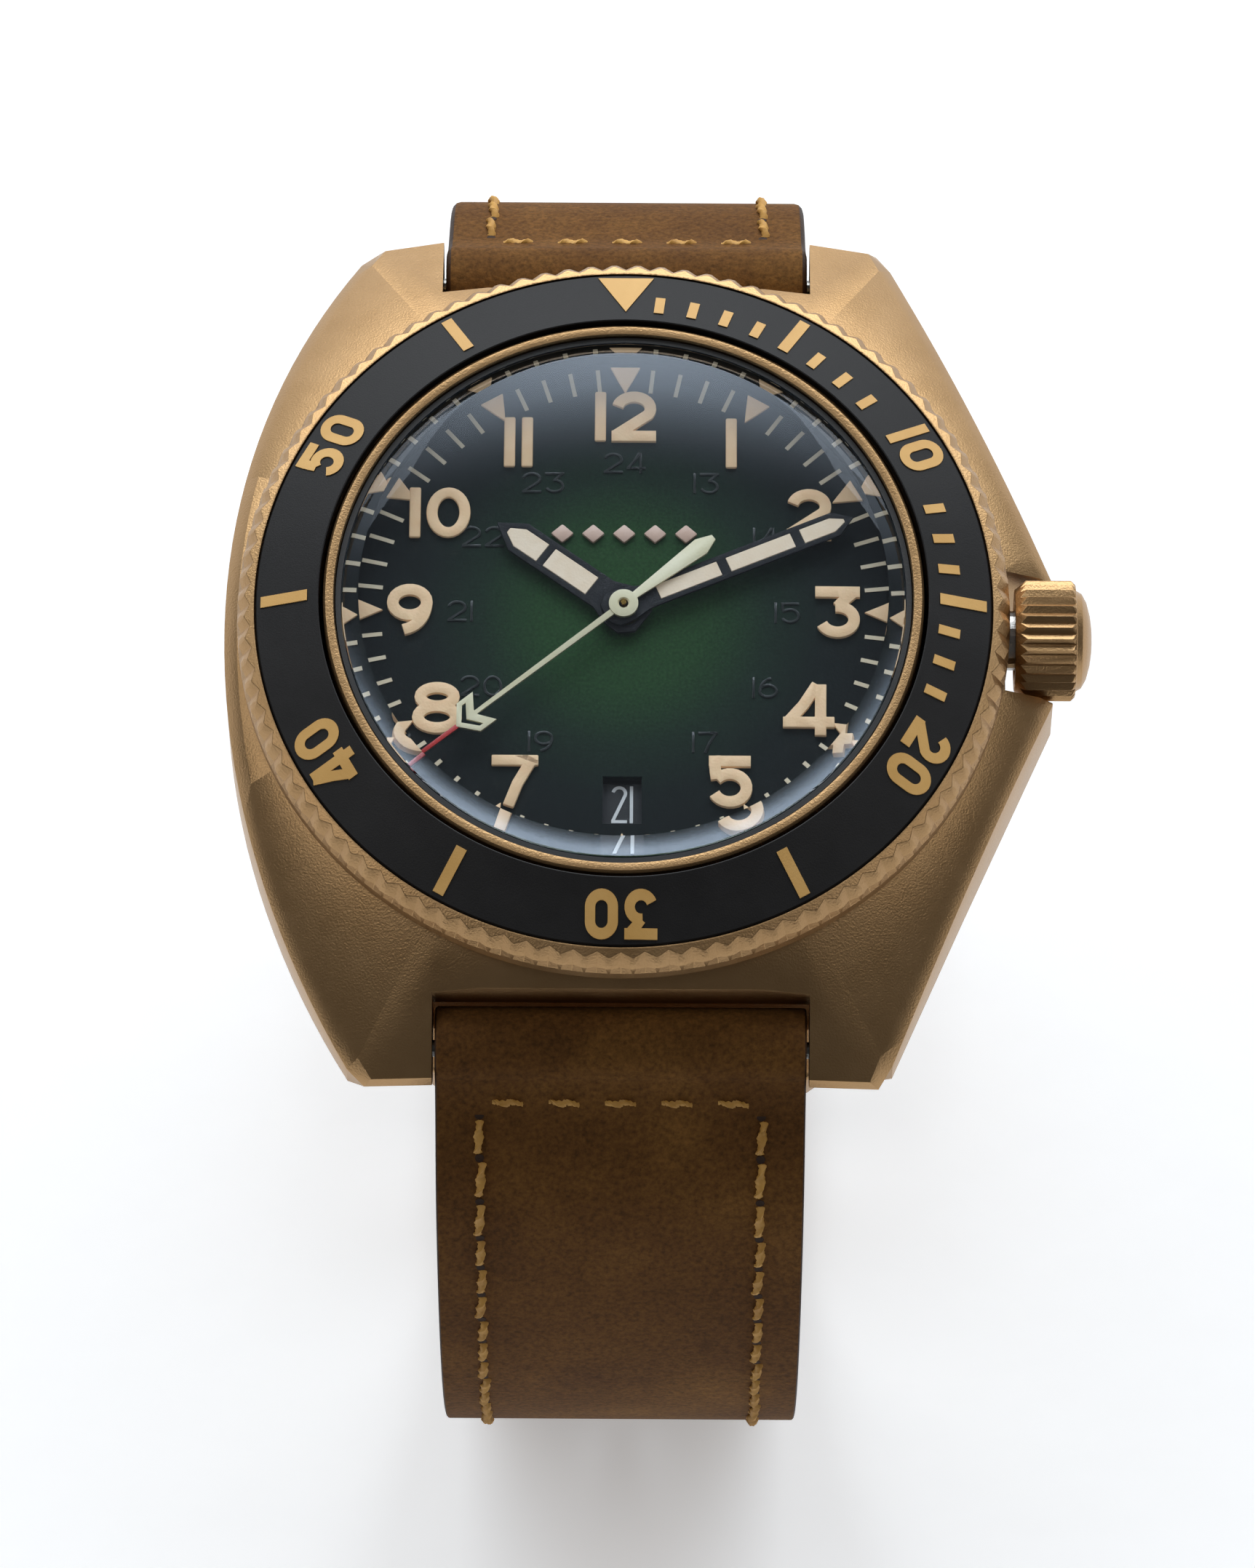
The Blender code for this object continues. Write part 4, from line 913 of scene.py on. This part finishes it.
def makeCrown():
    shape = crownShape
    radius, dome = shape["radius"], shape["domeRadius"]
    length = shape["outer"] - shape["inner"]
    foot = length + 0.05        # the dome springs from just above the face
    section = [(shape["recessRadius"], 0), (2.75, 0), (2.8, 0.1), (radius, 0.62), (radius, length - 0.22),
               (shape["faceRadius"], length), (2.78, length), (dome, foot)]
    section += [(dome * math.cos(math.radians(a)), foot + shape["domeHigh"] * math.sin(math.radians(a)))
                for a in (20, 40, 60, 76)]
    section += [(0, foot + shape["domeHigh"])]
    crown = lathe("crown", section, shape["ribs"] * 2, False)
    for corner in crown.data.vertices:
        away = math.hypot(corner.co.x, corner.co.y)
        step = math.atan2(corner.co.y, corner.co.x) / (math.pi / shape["ribs"])
        if away > radius - 0.05 and round(step) % 2:
            corner.co.x *= shape["groove"] / away
            corner.co.y *= shape["groove"] / away
            corner.co.z = 0.25 if corner.co.z < 1 else length - 0.05
    makeActive(crown)
    bpy.ops.object.mode_set(mode="EDIT")
    bpy.ops.mesh.select_all(action="DESELECT")
    bpy.ops.mesh.select_non_manifold()
    bpy.ops.mesh.extrude_region_move(TRANSFORM_OT_translate={"value": (0, 0, shape["recess"])})
    bpy.ops.mesh.edge_face_add()
    closeUp()
    soften(crown, shape["soft"], 2, 22)
    placed(crown, (shape["inner"], 0, shape["height"]), (0, 90, 0))
    finishPiece(crown, bronzeBlasted, "crown", ["crown"], 24)


makeCrown()
print("crown done")


# the strap is cut and stitched flat, then bent round its path
strapShape = {
    "wide": 19.7, "endWide": 18.0, "thick": 3.0, "endThick": 2.4, "taper": 65.0, "edge": 0.5, "step": 1.5,
    "short": 66.0, "long": 120.0, "loop": 2.25, "barHole": 0.98, "flatFrom": 3.4,
    # the path: lug bar, the round it settles on and over how many degrees, and how the tail lies down
    "barY": 22.5, "barZ": 2.4, "wrapRadius": 32.4, "wrapZ": -17.9, "settle": 16.0,
    "liftOff": 115.0, "bend": 12.5, "tailZ": -55.8,
    # buckle end of the short half, and tip and holes of the long one
    "endLoop": 1.9, "endHole": 0.83, "endFlat": 2.4, "slotHalf": 1.7, "slotFrom": 5.5,
    "tip": 7.0, "tipHalf": 1.2, "holes": 7, "hole": 1.05, "holePitch": 6.5, "firstHole": 26,
}
stitchShape = {"row": 7.5, "pitch": 2.2, "length": 2.12, "thread": 0.6, "slant": 5.0, "first": 3.4,
               "across": 2.6, "acrossPitch": 3.0, "acrossLength": 2.15, "stop": 8, "lift": 0.07,
               "needle": (0.25, 0.2)}


def leadAngle():
    return math.degrees(math.atan2(strapShape["barY"], strapShape["barZ"] - strapShape["wrapZ"]))


def wrapPoint(angle):
    shape = strapShape
    start = math.hypot(shape["barY"], shape["barZ"] - shape["wrapZ"])
    share = min(1.0, max(0.0, (angle - leadAngle()) / shape["settle"]))
    radius = start + (shape["wrapRadius"] - start) * share * share * (3 - 2 * share)
    turn = math.radians(angle)
    return Vector((0, radius * math.sin(turn), shape["wrapZ"] + radius * math.cos(turn)))


def shortPath():
    return [wrapPoint(leadAngle() + i) for i in range(140)]


def longPath():
    # round the wrist, straight down at a slope, and through a bend on to the floor
    shape = strapShape
    lead = leadAngle()
    points = [wrapPoint(lead + (shape["liftOff"] - lead) * i / 60) for i in range(61)]
    points = [Vector((0, -p.y, p.z)) for p in points]
    fall = math.radians(180 - shape["liftOff"])
    drop = points[-1].z - shape["tailZ"] - shape["bend"] * (1 - math.cos(fall))
    corner = points[-1] + Vector((0, math.cos(fall), -math.sin(fall))) * drop / math.sin(fall)
    points += [points[-1].lerp(corner, i / 12) for i in range(1, 13)]
    centre = corner + Vector((0, math.sin(fall), math.cos(fall))) * shape["bend"]
    for i in range(1, 25):
        turn = fall * (1 - i / 24)
        points.append(centre - Vector((0, math.sin(turn), math.cos(turn))) * shape["bend"])
    return points + [points[-1] + Vector((0, i, 0)) for i in range(1, 81)]


def measured(path):
    lengths = [0.0]
    for one, two in zip(path, path[1:]):
        lengths.append(lengths[-1] + (two - one).length)
    return path, lengths


def station(route, distance):
    # where a distance along the path is, which way it goes there, and which way is outwards
    path, lengths = route
    i = min(max(bisect.bisect_right(lengths, distance) - 1, 0), len(path) - 2)
    ahead = (path[i + 1] - path[i]).normalized()
    at = path[i] + ahead * (distance - lengths[i])
    outward = Vector((0, ahead.z, -ahead.y))
    if path[0].y > 0:
        outward.negate()
    return at, ahead, outward


def halfWidth(distance, length, rounded):
    shape = strapShape
    half = (shape["wide"] + (shape["endWide"] - shape["wide"]) * max(0, distance) / length) / 2
    if rounded and distance > length - shape["tip"]:
        share = (distance - length + shape["tip"]) / shape["tip"]
        return max(shape["tipHalf"], half * math.sqrt(max(0.0, 1 - share * share * 0.97)))
    return half


def thickness(distance):
    share = min(1.0, max(0.0, distance) / strapShape["taper"])
    return strapShape["thick"] + (strapShape["endThick"] - strapShape["thick"]) * share


def narrow(piece, length, rounded):
    for corner in piece.data.vertices:
        corner.co.x *= halfWidth(corner.co.y, length, rounded) * 2 / strapShape["wide"]
    piece.data.update()


def bendAlong(piece, route):
    for corner in piece.data.vertices:
        x, y, z = corner.co
        at, ahead, outward = station(route, max(y, 0))
        corner.co = at + ahead * min(y, 0) + outward * z + Vector((x, 0, 0))
    makeActive(piece)
    bpy.ops.object.mode_set(mode="EDIT")
    bpy.ops.mesh.select_all(action="SELECT")
    bpy.ops.mesh.normals_make_consistent(inside=False)
    bpy.ops.object.mode_set(mode="OBJECT")


def sideOutline(length, endLoop):
    # seen from the side: round the bar, along the top, round the far end, and back underneath
    shape = strapShape
    meet = math.degrees(math.asin(shape["thick"] / 2 / shape["loop"]))
    outline = bow((0, 0), (shape["loop"], shape["loop"]), meet + 12, 348 - meet, 22)
    start = shape["flatFrom"]
    count = round((length - start) / shape["step"])
    along = [start + (length - start) * i / count for i in range(count + 1)]
    if endLoop:
        along = [y for y in along if y < length - shape["endFlat"]]
        far = bow((length, 0), (endLoop, endLoop), 218, 502, 20)
    else:
        along = [y for y in along if y < length - shape["tip"]]
        along += [length - shape["tip"] * (1 - i / 10) ** 1.6 for i in range(11)]
        far = []
    under = [(y, -thickness(y) / 2) for y in along]
    over = [(y, thickness(y) / 2) for y in reversed(along)]
    return outline + under + far + over


def makeStitch(length):
    # a short thread of two plies twisted together, whose ends dive into the leather
    thread = stitchShape["thread"] / 2
    bpy.ops.mesh.primitive_circle_add(vertices=8, radius=thread, fill_type="NGON",
                                      location=(0, -length / 2, 0), rotation=(math.pi / 2, 0, 0))
    piece = bpy.context.object
    bpy.ops.object.transform_apply(location=True, rotation=True)
    bpy.ops.object.mode_set(mode="EDIT")
    bpy.ops.mesh.select_all(action="SELECT")
    for _ in range(8):
        bpy.ops.mesh.extrude_region_move(TRANSFORM_OT_translate={"value": (0, length / 8, 0)})
    closeUp(0.001)
    for corner in piece.data.vertices:
        share = corner.co.y / length
        ends = max(0.0, abs(share) - 0.25) / 0.25
        flat = 0.62 + 0.1 * ends
        turn = share * math.radians(400)
        x, z = corner.co.x, corner.co.z * flat
        size = 1 - 0.35 * ends ** 3
        corner.co.x = size * (x * math.cos(turn) - z * math.sin(turn))
        corner.co.z = size * (x * math.sin(turn) + z * math.cos(turn)) - thread * 1.3 * ends ** 2
    return piece


def stitchPlaces(stop):
    # where each stitch lies, its turn, and where each needle hole between two of them is
    stitches, holes = [], []
    count = int((stop - stitchShape["first"]) / stitchShape["pitch"])
    for row in (-1, 1):
        for i in range(count + 1):
            y = stitchShape["first"] + stitchShape["pitch"] * i
            holes.append((row * stitchShape["row"], y, 0))
            if i < count:
                wander = 0.05 * math.sin(i * 2.4 + row)
                turn = stitchShape["slant"] + 2.5 * math.sin(i * 1.7 + row)
                stitches.append((row * stitchShape["row"] + wander, y + stitchShape["pitch"] / 2, turn))
    for i in range(5):
        x = (i - 2) * stitchShape["acrossPitch"]
        stitches.append((x, stitchShape["across"], 90 + 3 * math.sin(i * 2.1)))
        holes += [(x + side * stitchShape["acrossLength"] * 0.52, stitchShape["across"], 90)
                  for side in (-1, 1)]
    return stitches, holes


def sewRows(length):
    # the same rows on the face and on the lining
    places, holes = stitchPlaces(length - stitchShape["stop"])
    side = makeStitch(stitchShape["length"])
    across = makeStitch(stitchShape["acrossLength"])
    # painted shade: each needle hole is a small dark disc set flush with the leather, not a real hole
    hole = plate("hole", bow((0, 0), stitchShape["needle"], 0, 315, 7), -0.2, 0.015)
    threads, shadeDiscs = [], []
    for face in (1, -1):
        work = [(across if abs(p[2]) > 45 else side, p, stitchShape["lift"], threads) for p in places]
        work += [(hole, p, 0, shadeDiscs) for p in holes]
        for master, (x, y, turn), lift, pile in work:
            piece = copyOf(master, "stitch")
            piece.data.transform(Matrix.Rotation(math.radians(turn), 4, "Z"))
            piece.data.transform(Matrix.Diagonal((1, 1, face, 1)))
            piece.data.transform(Matrix.Translation((x, y, face * (thickness(y) / 2 + lift))))
            pile.append(piece)
    for master in (side, across, hole):
        bpy.data.objects.remove(master)
    return joinPieces(threads, "threads"), joinPieces(shadeDiscs, "shadeDiscs")


def paintEdges(piece):
    # the cut sides and the tip take the edge paint, and so do the walls of the holes
    piece.data.materials.append(nubuck)
    piece.data.materials.append(edgePaint)
    for face in piece.data.polygons:
        side = abs(face.normal.x) > 0.6 or face.center.y > 3.5 and abs(face.normal.z) < 0.5
        face.material_index = 1 if side else 0


def makeStrap(name, node, body, path, length, rounded, endLoop):
    shape = strapShape
    route = measured(path)
    outline = sideOutline(length, endLoop)
    half = shape["wide"] / 2
    strap = skin(name, [[(x, y, z) for y, z in outline] for x in (-half, half)])
    soften(strap, shape["edge"], 3, 60)
    drill(strap, shape["barHole"], 30, turn=sideways)
    if endLoop:
        drill(strap, shape["endHole"], 30, (0, length, 0), sideways)
        left, near = -shape["slotHalf"], length - shape["slotFrom"]
        slot = [(left, near), (-left, near), (-left, length + 5), (left, length + 5)]
        cutWith(strap, plate("tongueSlot", slot, -4, 4))
    else:
        for i in range(shape["holes"]):
            drill(strap, shape["hole"], 8, (0, length - shape["firstHole"] - shape["holePitch"] * i, 0),
                  steps=24)
    narrow(strap, length, rounded)
    paintEdges(strap)
    bendAlong(strap, route)
    finishPiece(strap, nubuck, body, [node], 35)
    # the needle holes are dark discs of painted shade
    for sewn, label, finish in zip(sewRows(length), ("Stitches", "NeedleHoleShade"), (threadWaxed, paintedHoleShade)):
        sewn.name = name + label
        narrow(sewn, length, False)
        bendAlong(sewn, route)
        finishPiece(sewn, finish, body, smooth=60)


makeStrap("strapShort", "strap_short", "short_half", shortPath(), strapShape["short"], False,
          strapShape["endLoop"])
makeStrap("strapLong", "strap_long", "long_half", longPath(), strapShape["long"], True, 0)
print("strap done")


def pathMatrix(at, ahead):
    across = Vector((1, 0, 0))
    columns = Matrix((across, ahead, across.cross(ahead))).transposed().to_4x4()
    return Matrix.Translation(at) @ columns


def roundedBox(halfX, low, high, radius, steps=6):
    outline = []
    corners = ((halfX - radius, high - radius, 0), (radius - halfX, high - radius, 90),
               (radius - halfX, low + radius, 180), (halfX - radius, low + radius, 270))
    for x, y, start in corners:
        outline += bow((x, y), (radius, radius), start, start + 90, steps)
    return outline


keeperShape = {"half": 9.75, "low": 1.55, "high": 4.2, "wall": 1.1, "long": 5.0, "corner": 1.5,
               "innerCorner": 0.6, "soft": 0.3, "fixedAt": 8.5, "slidingAt": 24.0}


def makeKeeper(name, node, body, fromEnd):
    # one band of leather, closed under the strap
    shape = keeperShape
    at, ahead, outward = station(measured(shortPath()), strapShape["short"] - fromEnd)
    up = 1 if Vector((1, 0, 0)).cross(ahead).dot(outward) > 0 else -1
    low, high = sorted((-up * shape["low"], up * shape["high"]))
    wall, half = shape["wall"], shape["long"] / 2
    outer = roundedBox(shape["half"] + wall, low - wall, high + wall, shape["corner"])
    inner = roundedBox(shape["half"], low, high, shape["innerCorner"])
    keeper = skin(name, [[(x, y, z) for x, z in outer] for y in (-half, half)])
    cutWith(keeper, skin("keeperHollow", [[(x, y, z) for x, z in inner] for y in (-half - 1.5, half + 1.5)]))
    soften(keeper, shape["soft"], 3, 50)
    keeper.data.transform(pathMatrix(at, ahead))
    finishPiece(keeper, nubuck, body, [node], 40)


buckleShape = {
    "turn": -12.0, "halfThick": 1.5, "soft": 0.55, "barHole": 0.81, "tongueHalf": 1.15, "tongueSoft": 0.25,
    "frame": [(-12.2, -1.5), (-9.3, -1.5), (-9.3, 8.9), (-8.8, 9.4), (8.8, 9.4), (9.3, 8.9), (9.3, -1.5),
              (12.2, -1.5), (12.2, 10.2), (11.4, 11.6), (10.0, 12.6), (-10.0, 12.6), (-11.4, 11.6),
              (-12.2, 10.2)],
    "tongue": [(-1.35, 0.6), (-0.6, 1.35), (0.8, 1.9), (4.0, 2.3), (8.0, 2.6), (11.8, 2.75), (12.5, 2.4),
               (12.6, 1.8), (12.1, 1.72), (9.6, 1.72), (1.35, 0.6), (1.35, -0.6), (0.6, -1.35),
               (-0.6, -1.35), (-1.35, -0.6)],
}


def makeBuckle():
    shape = buckleShape
    end, ahead, _ = station(measured(shortPath()), strapShape["short"])
    stand = pathMatrix(end, Matrix.Rotation(math.radians(shape["turn"]), 3, "X") @ ahead)
    thick, half = shape["halfThick"], shape["tongueHalf"]
    buckle = soften(plate("buckleFrame", shape["frame"], -thick, thick), shape["soft"], 4, 30)
    buckle.data.transform(stand)
    drill(buckle, shape["barHole"], 23.6, end, sideways)
    finishPiece(buckle, bronzeBlasted, "buckle", ["buckle_frame"], 35)
    tongue = skin("buckleTongue", [[(x, y, z) for y, z in shape["tongue"]] for x in (-half, half)])
    soften(tongue, shape["tongueSoft"], 3, 40)
    tongue.data.transform(stand)
    drill(tongue, shape["barHole"], 6, end, sideways)
    finishPiece(tongue, bronzeBlasted, "tongue", ["buckle_tongue"], 35)


makeKeeper("keeperFixed", "fixed_keeper", "short_half", keeperShape["fixedAt"])
makeKeeper("keeperSliding", "sliding_keeper", "keeper", keeperShape["slidingAt"])
makeBuckle()
print("keepers and buckle done")


# inner parts keep their own shape and take their finishes
innerFinishes = (
    (rubberBlack, "caseback_gasket crown_gasket"),
    (steelBlued, "bezel_click_spring bezel_retaining_wire casing_screw_1 casing_screw_2 rotor_screw"
                 " hairspring mainspring"),
    (steelMachined, "crown_tube spring_bar_12 spring_bar_6 buckle_bar winding_stem winding_pinion"
                    " sliding_pinion casing_clamp_1 casing_clamp_2 rotor pallet_fork barrel_arbor"
                    " ratchet_wheel escape_wheel cannon_pinion"),
    (holderMoulded, "movement_holder"),
    (rhodiumGrained, "mainplate train_bridge balance_cock"),
    (balanceGold, "balance_wheel"),
    (brassGilt, "barrel centre_wheel third_wheel fourth_wheel minute_wheel hour_wheel"),
)
for finish, names in innerFinishes:
    for name in names.split():
        for slotUsed in nodes[name].material_slots:
            slotUsed.material = finish
print("inner parts finished")


studio = {
    "floorZ": -57.0,        # the strap's tail rests on it
    # the camera: what it circles, how high and how far round it stands, and how it is then turned
    "target": (0, 0, 9.8), "height": 65.58, "side": 0.51, "distance": 578.8, "lens": 249.2, "sensor": 36,
    "roll": -0.12, "down": 0.939, "across": 0.0205,
    "glow": (5.6, 6.0, 6.4), "room": (0.09, 0.09, 0.092),
    # place, size and power of each soft box
    "boxes": {"leftLight": ((-0.52, 0.02, 0.85), (0.4, 0.5), 1.25),
              "rightLight": ((0.52, 0.02, 0.85), (0.4, 0.5), 0.95),
              "backLight": ((0, 0.8, 0.3), (0.9, 0.2), 1.3)},
}


def makeFloor():
    deselectAll()
    bpy.ops.mesh.primitive_plane_add(size=6, location=(0, 0, studio["floorZ"] * mm))
    floor = bpy.context.object
    floor.name = "floor"
    material = grainedMaterial("paperWhite", ("#f4f4f4", "#f7f7f7"), (0.8, 0.9), 4.0, 0.02, patch=80.0,
                               Emission_Color=(1, 1, 1, 1), Emission_Strength=0.35)
    floor.data.materials.append(material)


def softBox(name, place, size, power):
    data = bpy.data.lights.new(name, "AREA")
    data.shape = "RECTANGLE"
    data.size, data.size_y = size
    data.energy = power
    lamp = bpy.data.objects.new(name, data)
    bpy.context.scene.collection.objects.link(lamp)
    lamp.location = place
    lamp.rotation_euler = (-Vector(place)).to_track_quat("-Z", "Y").to_euler()


def makeCamera():
    data = bpy.data.cameras.new("camera")
    data.lens = studio["lens"]
    data.sensor_width = studio["sensor"]
    camera = bpy.data.objects.new("camera", data)
    bpy.context.scene.collection.objects.link(camera)
    high, side = math.radians(studio["height"]), math.radians(studio["side"])
    back = Vector((math.sin(side) * math.cos(high), -math.cos(side) * math.cos(high), math.sin(high)))
    right = Vector((math.cos(side), math.sin(side), 0))
    facing = Matrix((right, back.cross(right), back)).transposed().to_4x4()
    turn = (Matrix.Rotation(math.radians(studio["roll"]), 4, "Z")
            @ Matrix.Rotation(math.radians(-studio["down"]), 4, "X")
            @ Matrix.Rotation(math.radians(-studio["across"]), 4, "Y"))
    place = (Vector(studio["target"]) + back * studio["distance"]) * mm
    camera.matrix_world = Matrix.Translation(place) @ facing @ turn
    bpy.context.scene.camera = camera


def makeSurround():
    # a dim pale room with a broad bluish glow high up behind the watch
    world = bpy.data.worlds.new("studio")
    bpy.context.scene.world = world
    world.use_nodes = True
    tree = world.node_tree
    way = addNode(tree, "ShaderNodeTexCoord").outputs["Generated"]
    part = addNode(tree, "ShaderNodeSeparateXYZ", {"Vector": way})
    rise = addNode(tree, "ShaderNodeMapRange", {"Value": part.outputs["Z"], "From Min": 0.3,
                                                "From Max": 0.55, "To Min": 0.13},
                   interpolation_type="SMOOTHSTEP")
    fade = addNode(tree, "ShaderNodeMapRange", {"Value": part.outputs["Z"], "From Min": 0.83,
                                                "From Max": 0.66}, interpolation_type="SMOOTHSTEP")
    behind = addNode(tree, "ShaderNodeMapRange", {"Value": part.outputs["Y"], "From Min": 0.42,
                                                  "From Max": 0.78}, interpolation_type="SMOOTHSTEP")
    band = addNode(tree, "ShaderNodeMath", {0: rise.outputs["Result"], 1: fade.outputs["Result"]},
                   operation="MULTIPLY")
    glow = addNode(tree, "ShaderNodeMath", {0: band.outputs[0], 1: behind.outputs["Result"]},
                   operation="MULTIPLY")
    total = addNode(tree, "ShaderNodeVectorMath", {0: glow.outputs[0], 1: studio["glow"],
                                                   2: studio["room"]}, operation="MULTIPLY_ADD")
    path = addNode(tree, "ShaderNodeLightPath")
    seen = addNode(tree, "ShaderNodeMixRGB", {"Fac": path.outputs["Is Camera Ray"],
                                              "Color1": total.outputs["Vector"], "Color2": (1, 1, 1, 1)})
    tree.links.new(seen.outputs["Color"], tree.nodes["Background"].inputs["Color"])
    tree.nodes["Background"].inputs["Strength"].default_value = 1.0


makeFloor()
makeCamera()
makeSurround()
for name, box in studio["boxes"].items():
    softBox(name, *box)
bpy.context.scene.view_settings.view_transform = "Standard"
print("studio done")
